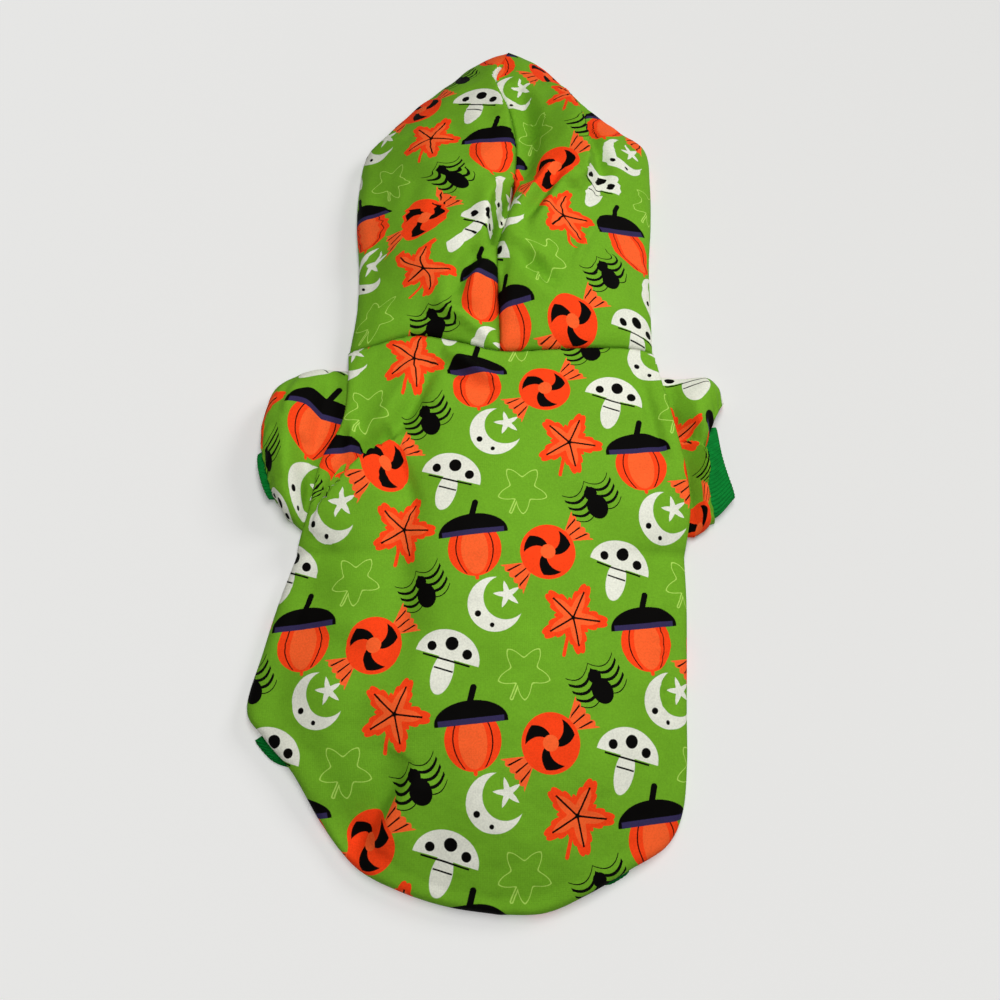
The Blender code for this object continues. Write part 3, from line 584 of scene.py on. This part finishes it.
def sleeve_tube(side):
    """Points of one sleeve's outer face, and their places on the print."""
    loops = [armhole_loop(side)]
    for share in np.linspace(0, 1, SLEEVE_ROWS):
        fore, aft, height, bow = tube_ends(SLEEVE_TABLES[side], share, side, SLEEVE_LOFT)
        loop = tube_loop(fore, aft, height, bow, 0.0, SLEEVE_ROLL, DENSE)
        loops.append(evenly(loop, SLEEVE_STEPS))
    grid = np.array(loops)
    grid = np.concatenate([grid, grid[:, :1]], 1)
    top = ease(grid[:, :, 2] / 0.010 - 0.4)
    add_folds(grid, SLEEVE_FOLDS[side], top)
    end = np.linspace(1, 0, len(grid))[:, None]
    around = np.linspace(0, 2 * math.pi, grid.shape[1])[None, :]
    gather = dent(end, (GATHER_HEIGHT, GATHER_REACH))
    gather = gather * np.sin(around * GATHERS + 3 * np.sin(around * 2))
    waves = relief(grid, SLEEVE_RELIEF) * ease(end * 6) * ease((1 - end) * 8)
    grid[:, :, 2] += (waves + gather) * top
    steps = np.linalg.norm(np.diff(grid, axis=1), axis=2).mean(0)
    girth = np.concatenate([[0.0], np.cumsum(steps)])
    length = np.linalg.norm(np.diff(grid, axis=0), axis=2).mean(1)
    outward = np.concatenate([[0.0], np.cumsum(length)])
    places = np.empty(grid.shape[:2] + (2,))
    places[:, :, 0] = side_sign(side) * outward[:, None]
    places[:, :, 1] = -girth[None, :]
    return grid, places


def ribbed(loop, ribs):
    """A loop with rounded ribs, raised square to the loop."""
    points = evenly(loop, RIB_SAMPLES * ribs)
    ahead = np.roll(points, -1, axis=0) - np.roll(points, 1, axis=0)
    axis = np.cross(points - points.mean(0), ahead).mean(0)
    across = np.cross(ahead, axis)
    across /= np.linalg.norm(across, axis=1)[:, None]
    phase = np.arange(RIB_SAMPLES * ribs) / RIB_SAMPLES
    wave = np.abs(np.sin(math.pi * phase)) - 0.6
    return points + across * (wave * RIB_DEPTH)[:, None]


def cuff_tube(side):
    """Points of one cuff's outer face, and flat places on it."""
    floor = CLOTH + SEAM_GAP + RIB_DEPTH
    loops = []
    for share in np.linspace(0, 1, CUFF_ROWS + 1):
        fore, aft, height, bow = tube_ends(CUFF_TABLES[side], share, side, CUFF_HEIGHT)
        loops.append(tube_loop(fore, aft, height, bow, floor, SLEEVE_ROLL, DENSE))
    girth = np.linalg.norm(loops[0] - np.roll(loops[0], 1, axis=0), axis=1).sum()
    ribs = round(girth / RIB_PITCH)
    grid = np.array([ribbed(loop, ribs) for loop in loops])
    grid = np.concatenate([grid, grid[:, :1]], 1)
    return grid, grid[:, :, :2].copy()


def band_arc(side):
    """Outer and inner plan points of the waist band, from the belly hem's corner to the tail."""
    first = share_at(BELLY_HEM, side)
    shares = np.linspace(first, 1, 240)
    middle, spread, push = BAND_SHOWS[side]
    shows = np.clip(1 - (np.abs(shares - middle) / spread) ** BAND_SQUARENESS, 0, 1)
    seam = BODY_UNDER + SEAM_GAP
    outer = inside_edge(shares, side, seam - push * BODY_UNDER * shows)
    inner = inside_edge(shares, side, seam + WAIST_BAND)
    return outer, inner, inside_edge(shares[:1], side, seam)[0]


def close_line(points, count):
    """A line carried on by even steps from its last point back to its first."""
    return np.concatenate([points, along_line(np.stack([points[-1], points[0]]), count)[1:]])


def band_sheet():
    """Points of the waist band's upper face, and flat places on it."""
    outer, inner, corner = {}, {}, {}
    for side in ("left", "right"):
        outer[side], inner[side], corner[side] = band_arc(side)
    hem = (corner["left"] - corner["right"]) / np.linalg.norm(corner["left"] - corner["right"])
    down = np.array([-hem[1], hem[0]])
    outer["left"][0] = corner["left"] + hem * BAND_CORNER + down * SEAM_GAP
    outer["right"][0] = corner["right"] + down * SEAM_GAP
    level = float(outer["right"][0] @ down) + WAIST_BAND
    arcs = {}
    for side in ("left", "right"):
        depth = inner[side] @ down
        first = int(np.argmax(depth > level))
        part = (level - depth[first - 1]) / (depth[first] - depth[first - 1])
        start = inner[side][first - 1] * (1 - part) + inner[side][first] * part
        arcs[side] = np.concatenate([[start], inner[side][first:]])
    outside = np.concatenate([outer["left"], outer["right"][::-1][1:]])
    inside = np.concatenate([arcs["left"], arcs["right"][::-1][1:]])
    length = np.linalg.norm(np.diff(outside, axis=0), axis=1).sum()
    arc_ribs = round(length / RIB_PITCH)
    rim = along_line(outside, arc_ribs * RIB_SAMPLES)
    hole = along_line(inside, arc_ribs * RIB_SAMPLES)
    width = np.linalg.norm(outside[-1] - outside[0])
    hem_ribs = round(width / RIB_PITCH)
    rim = close_line(rim, hem_ribs * RIB_SAMPLES)
    hole = close_line(hole, hem_ribs * RIB_SAMPLES)
    across = np.linspace(0, 1, BAND_ROWS + 1)[None, :, None]
    plan = rim[:, None, :] * (1 - across) + hole[:, None, :] * across
    phase = np.arange(len(rim)) / RIB_SAMPLES
    height = RIB_CLOTH + BAND_RIB_DEPTH * (np.abs(np.sin(math.pi * phase)) - 1)
    height = np.repeat(height[:, None], BAND_ROWS + 1, 1)
    return np.concatenate([plan, height[:, :, None]], 2), plan.copy()


def join_grids(grids):
    """Vertices, quads and flat places of grids that share the points where they meet."""
    verts, faces, places, numbers = [], [], [], {}
    for points, flat, flip in grids:
        rows, columns = points.shape[:2]
        index = np.zeros((rows, columns), dtype=int)
        keys = np.round(points, MERGE_DIGITS) + 0.0
        for i in range(rows):
            for j in range(columns):
                key = tuple(keys[i, j])
                if key not in numbers:
                    numbers[key] = len(verts)
                    verts.append(points[i, j])
                index[i, j] = numbers[key]
        for i in range(rows - 1):
            for j in range(columns - 1):
                ring = [(i, j), (i, j + 1), (i + 1, j + 1), (i + 1, j)]
                ring = ring[::-1] if flip else ring
                corners, uvs = [], []
                for place in ring:
                    if index[place] not in corners:
                        corners.append(index[place])
                        uvs.append(flat[place])
                if len(corners) > 2:
                    faces.append([int(corner) for corner in corners])
                    places.append(uvs)
    return np.array(verts), faces, places


def vertex_normals(verts, faces):
    """Outward unit normal at each vertex."""
    first = np.array([face[0] for face in faces])
    second = np.array([face[1] for face in faces])
    third = np.array([face[len(face) // 2] for face in faces])
    last = np.array([face[-1] for face in faces])
    ring = np.cross(verts[second] - verts[first], verts[third] - verts[first])
    ring += np.cross(verts[third] - verts[first], verts[last] - verts[first])
    normals = np.zeros_like(verts)
    for corners in (first, second, third, last):
        np.add.at(normals, corners, ring)
    return normals / np.maximum(np.linalg.norm(normals, axis=1), 1e-12)[:, None]


def thicken(verts, faces, places, wall):
    """A closed wall inward of a sheet, or down to the floor where no wall is given."""
    if wall is None:
        inner = verts * (1.0, 1.0, 0.0)
    else:
        inner = verts - vertex_normals(verts, faces) * wall
    count = len(verts)
    closed = faces + [[corner + count for corner in reversed(face)] for face in faces]
    flat = places + [list(reversed(uvs)) for uvs in places]
    edges = {}
    for face, uvs in zip(faces, places):
        for a, b, uv_a, uv_b in zip(face, face[1:] + face[:1], uvs, uvs[1:] + uvs[:1]):
            edges[(a, b)] = (uv_a, uv_b)
    for (a, b), (uv_a, uv_b) in edges.items():
        if (b, a) not in edges:
            closed.append([b, a, a + count, b + count])
            flat.append([uv_b, uv_a, uv_a, uv_b])
    return np.concatenate([verts, inner]), closed, flat


def add_object(name, data):
    """A new object in the scene."""
    item = bpy.data.objects.new(name, data)
    bpy.context.scene.collection.objects.link(item)
    return item


def make_piece(name, node, grids, wall, finish, turn, shift):
    """A piece of the scene in place of a node, with its print laid on at a turn and a shift."""
    verts, faces, places = thicken(*join_grids(grids), wall)
    mesh = bpy.data.meshes.new(name)
    mesh.from_pydata((verts - MIDDLE).tolist(), [], faces)
    layer = mesh.uv_layers.new(name="cloth")
    flat = np.array([uv for uvs in places for uv in uvs])
    cos, sin = math.cos(math.radians(turn)), math.sin(math.radians(turn))
    turned = flat @ np.array([[cos, sin], [-sin, cos]])
    layer.data.foreach_set("uv", (turned + np.array(shift) / 1000).ravel())
    mesh.shade_smooth()
    piece = add_object(name, mesh)
    material, slot = finish
    mesh.materials.append(material)
    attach(piece, "root")
    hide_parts(node)
    return piece


class Field:
    """A number that varies over the print, worked out by shader nodes."""

    def __init__(self, tree, socket):
        self.tree = tree
        self.socket = socket

    def math(self, operation, *others):
        node = self.tree.nodes.new("ShaderNodeMath")
        node.operation = operation
        for slot, item in zip(node.inputs, (self,) + others):
            if isinstance(item, Field):
                self.tree.links.new(item.socket, slot)
            else:
                slot.default_value = item
        return Field(self.tree, node.outputs[0])

    def __add__(self, other):
        return self.math("ADD", other)

    def __sub__(self, other):
        return self.math("SUBTRACT", other)

    def __mul__(self, other):
        return self.math("MULTIPLY", other)

    def __neg__(self):
        return self.math("MULTIPLY", -1.0)

    def __abs__(self):
        return self.math("ABSOLUTE")

    def join(self, other):
        """Inside either shape."""
        return self.math("MINIMUM", other)

    def within(self, other):
        """Inside both shapes."""
        return self.math("MAXIMUM", other)

    def power(self, other):
        return self.math("POWER", other)

    def sine(self):
        return self.math("SINE")

    def wrap(self, span):
        """The number brought to between minus and plus half a span."""
        return self.math("WRAP", span / 2, -span / 2)

    def mapped(self, low, high, first, last):
        """The number taken from one range to another, and held within it."""
        node = self.tree.nodes.new("ShaderNodeMapRange")
        ends = {"From Min": low, "From Max": high, "To Min": first, "To Max": last}
        for name, value in ends.items():
            node.inputs[name].default_value = value
        self.tree.links.new(self.socket, node.inputs["Value"])
        return node.outputs["Result"]


def coordinates(tree, socket, scale):
    """The first two parts of a vector, as numbers."""
    parts = tree.nodes.new("ShaderNodeSeparateXYZ")
    tree.links.new(socket, parts.inputs["Vector"])
    return Field(tree, parts.outputs["X"]) * scale, Field(tree, parts.outputs["Y"]) * scale


def cloth_places(tree, scale):
    """Flat places on the cloth."""
    places = tree.nodes.new("ShaderNodeUVMap")
    places.uv_map = "cloth"
    return coordinates(tree, places.outputs["UV"], scale)


def speckle(tree, scale, detail):
    """Noise over the garment."""
    space = tree.nodes.new("ShaderNodeTexCoord")
    noise = tree.nodes.new("ShaderNodeTexNoise")
    noise.inputs["Scale"].default_value = scale
    noise.inputs["Detail"].default_value = detail
    tree.links.new(space.outputs["Object"], noise.inputs["Vector"])
    return Field(tree, noise.outputs["Fac"])


def hypotenuse(x, y):
    """Distance from the origin."""
    return (x * x + y * y).math("SQRT")


def disc(x, y, across, up, radius):
    """How far outside a disc."""
    return hypotenuse(x - across, y - up) - radius


def ellipse(x, y, across, up, wide, high):
    """About how far outside an ellipse."""
    return (hypotenuse((x - across) * (1 / wide), (y - up) * (1 / high)) - 1.0) * min(wide, high)


def stroke(x, y, first, last, radius):
    """How far outside a stroke with round ends."""
    run = (last[0] - first[0], last[1] - first[1])
    size = run[0] ** 2 + run[1] ** 2
    dx, dy = x - first[0], y - first[1]
    share = (dx * (run[0] / size) + dy * (run[1] / size)).math("MAXIMUM", 0.0).math("MINIMUM", 1.0)
    return hypotenuse(dx - share * run[0], dy - share * run[1]) - radius


def points_of_star(x, y, points, inner, outer, sharpness):
    """About how far outside a star with one point up."""
    angle = x.math("ARCTAN2", y)
    bend = abs((angle * (points / 2)).math("SINE")).power(sharpness)
    return hypotenuse(x, y) - (-bend + 1.0) * (outer - inner) - inner


# Inks of the print and the colour of the rib knit, in linear colour, and the print's tile
INKS = {
    "ground": (0.158, 0.395, 0.019, 1.0),
    "orange": (0.980, 0.125, 0.026, 1.0),
    "amber": (0.980, 0.058, 0.008, 1.0),
    "black": (0.0015, 0.0012, 0.0010, 1.0),
    "violet": (0.034, 0.026, 0.090, 1.0),
    "white": (0.800, 0.810, 0.700, 1.0),
    "lime": (0.420, 0.690, 0.110, 1.0),
}
RIB_GREEN = (0.002, 0.200, 0.028, 1.0)
TILE = (84.0, 88.0)
PRINT_SCALE = 1.09
INK_EDGE = 0.10

# The knit: a stitch's width in metres, a course's height as a share of it, fuzz and dullness
WALE = 0.0011
COURSE_SHARE = 0.8
FUZZ_SCALE = 1800.0
CLOTH_ROUGHNESS = 0.80


def leaf(x, y):
    """An autumn leaf with its stalk and veins."""
    angle = x.math("ARCTAN2", y)
    teeth = abs((angle * 12.5).sine()) * 1.7
    blade = points_of_star(x, y, 5, 8.0, 16.5, 1.5) - teeth
    stalk = stroke(x, y, (0.0, -5.0), (2.5, -18.0), 0.9)
    across = abs((angle * 2.5).sine()) * hypotenuse(x, y) * 0.4
    veins = (across - 0.42).within(hypotenuse(x, y) - 13.5)
    heart = points_of_star(x, y, 5, 5.0, 13.0, 1.5)
    return ((blade.join(stalk), "amber"), (heart, "orange"), (veins, "black"))


def sweet(x, y):
    """A wrapped sweet with a swirl."""
    aside = abs(x)
    wings = (abs(y) - (aside - 8.0) * 0.62).within(aside - 21.0 - abs((y * 0.9).sine()) * 1.2)
    radius = hypotenuse(x, y)
    ball = radius - 13.5
    swirl = (x.math("ARCTAN2", y) * 3.0 + radius * 0.28).sine() * -3.0 + 1.2
    pleats = (abs((y.math("DIVIDE", aside + 2.0) * 16.0).sine()) * 1.2 - 0.35).within(wings + 0.8)
    return (
        (wings, "orange"), (pleats, "black"), (ball, "amber"),
        (swirl.within(ball + 1.8), "black"), (disc(x, y, 0.0, 0.0, 3.6), "orange"),
    )


def acorn(x, y):
    """An acorn under a dark cup with a violet band."""
    nut = ellipse(x, y, 0.0, -5.0, 13.0, 13.5).join(stroke(x, y, (0.0, -14.0), (0.0, -19.5), 0.9))
    gloss = ellipse(x, y, 0.0, -5.5, 6.5, 12.0)
    seam = abs(abs(x) - 9.0 + (y + 5.0) * (y + 5.0) * 0.03) - 0.30
    cup = ellipse(x, y, 0.0, 3.0, 17.0, 9.5).within(-y + 2.0)
    band = cup.within(y - 4.6)
    stalk = stroke(x, y, (0.0, 11.0), (2.5, 18.0), 1.5)
    return (
        (nut, "amber"), (gloss, "orange"), (seam.within(nut + 0.5), "black"),
        (cup.join(stalk), "black"), (band.within(abs(x) - 15.2), "violet"),
    )


def toadstool(x, y):
    """A pale toadstool with dark spots."""
    cap = ellipse(x, y, 0.0, 0.0, 15.5, 13.0).within(-y)
    stem = ellipse(x, y, 0.0, -7.0, 5.0, 10.0)
    spots = disc(x, y, 0.5, 7.0, 3.1).join(disc(x, y, -8.4, 3.6, 2.2))
    spots = spots.join(disc(x, y, 8.8, 4.0, 2.3))
    gills = (abs(y + 0.9) - 0.45).within(abs(x) - 11.5)
    ring = (abs(y + 5.4) - 0.4).within(abs(x) - 4.6)
    return ((cap.join(stem), "white"), (spots, "black"), (gills.join(ring), "black"))


def moon(x, y):
    """A crescent moon and a star."""
    crescent = disc(x, y, -1.5, 0.0, 13.0).within(-disc(x, y, 4.2, 2.0, 10.6))
    star = points_of_star(x - 5.2, y - 3.0, 5, 2.4, 6.8, 0.9)
    craters = disc(x, y, -10.4, -2.4, 1.5).join(disc(x, y, -5.2, -9.2, 1.1))
    return ((crescent.join(star), "white"), (craters, "black"))


def spider(x, y):
    """A spider seen from above."""
    aside = abs(x)
    body = ellipse(x, y, 0.0, -2.4, 5.0, 6.2).join(disc(x, y, 0.0, 5.0, 3.2))
    bend = (aside - 7.0) * (aside - 7.0) * 0.10
    rows = abs((y - bend * 0.9 - 0.4).wrap(3.7)) - 0.75
    legs = rows.within(aside - 13.0).within(abs(y - bend * 0.9 - 0.4) - 7.2)
    return ((body.join(legs), "black"),)


def outline(x, y):
    """A leaf drawn in one thin line."""
    stalk = stroke(x, y, (0.0, -4.0), (2.0, -13.0), 0.6)
    shape = points_of_star(x, y, 5, 6.5, 12.5, 1.4).join(stalk)
    return ((abs(shape) - 0.33, "lime"),)


# The motifs of one tile: where each lies in it and its turn in degrees
MOTIFS = (
    (acorn, 0.0, 0.0, 6.0),
    (leaf, -36.0, 6.3, -24.0),
    (moon, 12.0, -31.4, 14.0),
    (spider, -24.0, -25.1, 28.0),
    (outline, 24.0, 25.1, -35.0),
    (toadstool, -12.0, 31.4, -16.0),
    (sweet, 36.0, -6.3, 38.0),
)


def tiled(x, y, across, up, turn):
    """Coordinates about the nearest copy of a motif, on a lattice whose columns drop by half."""
    dx = x - across
    near_x = dx.wrap(TILE[0])
    near_y = (y - up - (dx - near_x) * (TILE[1] / 2 / TILE[0])).wrap(TILE[1])
    cos, sin = math.cos(math.radians(turn)), math.sin(math.radians(turn))
    return near_x * cos + near_y * sin, near_y * cos - near_x * sin


def plain_colour(tree, value):
    """One colour, for others to be laid over."""
    colour = tree.nodes.new("ShaderNodeRGB")
    colour.outputs[0].default_value = value
    return colour.outputs[0]


def print_colour(tree):
    """The print's colour over the cloth, from its flat places."""
    x, y = cloth_places(tree, 1000.0 / PRINT_SCALE)
    colour = plain_colour(tree, INKS["ground"])
    for motif, across, up, turn in MOTIFS:
        near_x, near_y = tiled(x, y, across, up, turn)
        for outside, ink in motif(near_x, near_y):
            mix = tree.nodes.new("ShaderNodeMix")
            mix.data_type = "RGBA"
            tree.links.new(outside.mapped(-INK_EDGE, INK_EDGE, 1.0, 0.0), mix.inputs[0])
            tree.links.new(colour, mix.inputs[6])
            mix.inputs[7].default_value = INKS[ink]
            colour = mix.outputs[2]
    return colour


def new_material(name, specular):
    """A dull cloth material and its shader."""
    material = bpy.data.materials.new(name)
    material.use_nodes = True
    shader = material.node_tree.nodes["Principled BSDF"]
    shader.inputs["Roughness"].default_value = CLOTH_ROUGHNESS
    shader.inputs["Specular IOR Level"].default_value = specular
    return material, shader


def tint(tree, colour, low, high, scale):
    """Soft, slight variation of a colour over the cloth."""
    strength = speckle(tree, scale, 3.0).mapped(0.3, 0.7, low, high)
    scaled = tree.nodes.new("ShaderNodeVectorMath")
    scaled.operation = "SCALE"
    tree.links.new(colour, scaled.inputs[0])
    tree.links.new(strength, scaled.inputs["Scale"])
    return scaled.outputs["Vector"]


def knit_bump(tree, shader, strength, depth):
    """The fine stitches of a knit, as bump."""
    x, y = cloth_places(tree, 2 * math.pi / WALE)
    stitch = x.sine() * 0.5 + (y * (1 / COURSE_SHARE) + abs(x.sine()) * 1.5).sine() * 0.5
    height = stitch * 0.5 + speckle(tree, FUZZ_SCALE, 2.0) * 1.2
    bump = tree.nodes.new("ShaderNodeBump")
    bump.inputs["Strength"].default_value = strength
    bump.inputs["Distance"].default_value = depth
    tree.links.new(height.socket, bump.inputs["Height"])
    tree.links.new(bump.outputs["Normal"], shader.inputs["Normal"])


def print_material():
    """The printed jersey."""
    material, shader = new_material("printed_jersey", 0.06)
    tree = material.node_tree
    broad = tint(tree, print_colour(tree), 0.96, 1.04, 60.0)
    tree.links.new(tint(tree, broad, 0.90, 1.08, 1100.0), shader.inputs["Base Color"])
    knit_bump(tree, shader, 0.30, 0.00012)
    return material


def rib_material():
    """The green rib knit."""
    material, shader = new_material("rib_knit", 0.08)
    tree = material.node_tree
    green = tint(tree, plain_colour(tree, RIB_GREEN), 0.82, 1.15, 300.0)
    tree.links.new(green, shader.inputs["Base Color"])
    knit_bump(tree, shader, 0.45, 0.00020)
    return material


def dress(name, node, grids, wall, finish, turn, shift):
    """A piece in place of a node, made from its grids."""
    piece = make_piece(name, node, grids, wall, finish, turn, shift)


def build_garment():
    """Every piece of the hoodie."""
    cloth = (print_material(), "print_cloth")
    rib = (rib_material(), "rib_knit")
    grids = [back_half("left") + (False,), back_half("right") + (True,)]
    dress("back", "back_panel", grids, CLOTH, cloth, 0.0, (14, 9))
    grids = [belly_sheet() + (False,)]
    dress("belly", "belly_panel", grids, CLOTH, cloth, 0.0, (60, 33))
    for side, turn, shift in (("left", 3.0, (31, 52)), ("right", -3.0, (70, 18))):
        name = "hood_" + side
        grids = [hood_half(side) + (side == "left",)]
        dress(name + "_cloth", name, grids, CLOTH, cloth, turn, shift)
    for side, turn, shift in (("left", 18.0, (12, 40)), ("right", -20.0, (55, 5))):
        sleeve, cuff = "sleeve_" + side, "cuff_" + side
        grids = [sleeve_tube(side) + (side == "left",)]
        dress(sleeve + "_cloth", sleeve, grids, CLOTH, cloth, turn, shift)
        grids = [cuff_tube(side) + (side == "left",)]
        dress(cuff + "_rib", cuff, grids, RIB_CLOTH, rib, 0.0, (0, 0))
    grids = [band_sheet() + (True,)]
    dress("waist_band_rib", "waist_rib", grids, None, rib, 0.0, (0, 0))


# The studio: lights and camera in metres, watts and degrees, and the floor's look
KEY_AT = (0.03, -0.04, 0.50)
KEY_SIZE = (0.12, 0.44)
KEY_POWER = 2.0
KEY_STEP = 0.15
SIDE_AT = (0.75, 0.50, 0.60)
SIDE_SIZE = 0.35
SIDE_POWER = 4.2
SURROUND = 0.08
FLOOR_HALF = 3.0
FLOOR_BELOW = 0.0003
FLOOR_SHADE = 0.78
FLOOR_LOOK = 0.73
CAMERA_HEIGHT = 0.41
CAMERA_TILT = 17.0
CAMERA_AT = (0.0030406, -0.1777617)
FOCAL = 751.0
PHOTO_WIDTH = 1000.0
SENSOR = 36.0


def add_camera():
    """The photograph's viewpoint, looking down at the floor from a little behind the tail."""
    lens = bpy.data.cameras.new("camera")
    lens.sensor_width = SENSOR
    lens.lens = SENSOR * FOCAL / PHOTO_WIDTH
    lens.clip_start = 0.01
    camera = add_object("camera", lens)
    camera.location = CAMERA_AT + (CAMERA_HEIGHT,)
    camera.rotation_euler = (math.radians(CAMERA_TILT), 0.0, 0.0)
    bpy.context.scene.camera = camera


def add_light(name, location, turn, sizes, power):
    """A soft light at a place, turned from facing straight down."""
    data = bpy.data.lights.new(name, "AREA")
    data.shape = "RECTANGLE"
    data.size, data.size_y = sizes
    data.energy = power
    data.color = (1.0, 0.995, 0.985)
    light = add_object(name, data)
    light.location = location
    light.rotation_euler = turn


def key_share(x, y):
    """How strongly a small light at the long light's middle reaches the floor."""
    aside = (x - KEY_AT[0]) * (x - KEY_AT[0]) + (y - KEY_AT[1]) * (y - KEY_AT[1])
    return (aside + KEY_AT[2] ** 2).power(-2.0) * KEY_AT[2] ** 2


def side_share(x, y):
    """How strongly the side light reaches the floor."""
    far = math.hypot(*SIDE_AT)
    aside = (x - SIDE_AT[0]) * (x - SIDE_AT[0]) + (y - SIDE_AT[1]) * (y - SIDE_AT[1])
    facing = x * (-SIDE_AT[0] / far) - y * (SIDE_AT[1] / far) + far
    return facing * (aside + SIDE_AT[2] ** 2).power(-2.0) * SIDE_AT[2]


def add_floor():
    """A plain pale floor, whose faint glow evens out the light that falls on it."""
    mesh = bpy.data.meshes.new("floor")
    corners = ((-1, -1), (1, -1), (1, 1), (-1, 1))
    mesh.from_pydata([(x * FLOOR_HALF, y * FLOOR_HALF, 0) for x, y in corners], [], [(0, 1, 2, 3)])
    floor = add_object("floor", mesh)
    floor.location = (0.0, 0.0, -FLOOR_BELOW)
    material = bpy.data.materials.new("floor")
    material.use_nodes = True
    tree = material.node_tree
    shader = tree.nodes["Principled BSDF"]
    shader.inputs["Base Color"].default_value = (FLOOR_SHADE, FLOOR_SHADE, 0.99 * FLOOR_SHADE, 1.0)
    shader.inputs["Emission Color"].default_value = (1.0, 1.0, 0.99, 1.0)
    shader.inputs["Roughness"].default_value = 0.9
    space = tree.nodes.new("ShaderNodeTexCoord")
    x, y = coordinates(tree, space.outputs["Object"], 1.0)
    glow = side_share(x, y) * (-FLOOR_SHADE * SIDE_POWER / math.pi ** 2) + FLOOR_LOOK
    for step in (-KEY_STEP, 0.0, KEY_STEP):
        glow = glow - key_share(x, y + step) * (FLOOR_SHADE * KEY_POWER / math.pi ** 2 / 3)
    tree.links.new(glow.math("MAXIMUM", 0.0).socket, shader.inputs["Emission Strength"])
    mesh.materials.append(material)


def add_studio():
    """Floor, a long soft light overhead, a weaker one at the right, and a pale surround."""
    add_floor()
    add_light("key", KEY_AT, (0.0, 0.0, 0.0), KEY_SIZE, KEY_POWER)
    x, y, z = SIDE_AT
    toward_middle = (math.atan2(math.hypot(x, y), z), 0.0, math.atan2(x, -y))
    add_light("side", SIDE_AT, toward_middle, (SIDE_SIZE, SIDE_SIZE), SIDE_POWER)
    world = bpy.data.worlds.new("surround")
    world.use_nodes = True
    sky = world.node_tree.nodes["Background"]
    sky.inputs["Color"].default_value = (1.0, 1.0, 1.0, 1.0)
    sky.inputs["Strength"].default_value = SURROUND
    bpy.context.scene.world = world
    bpy.context.scene.view_settings.view_transform = "Standard"


def main():
    """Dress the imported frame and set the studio."""
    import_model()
    build_garment()
    add_camera()
    add_studio()


main()
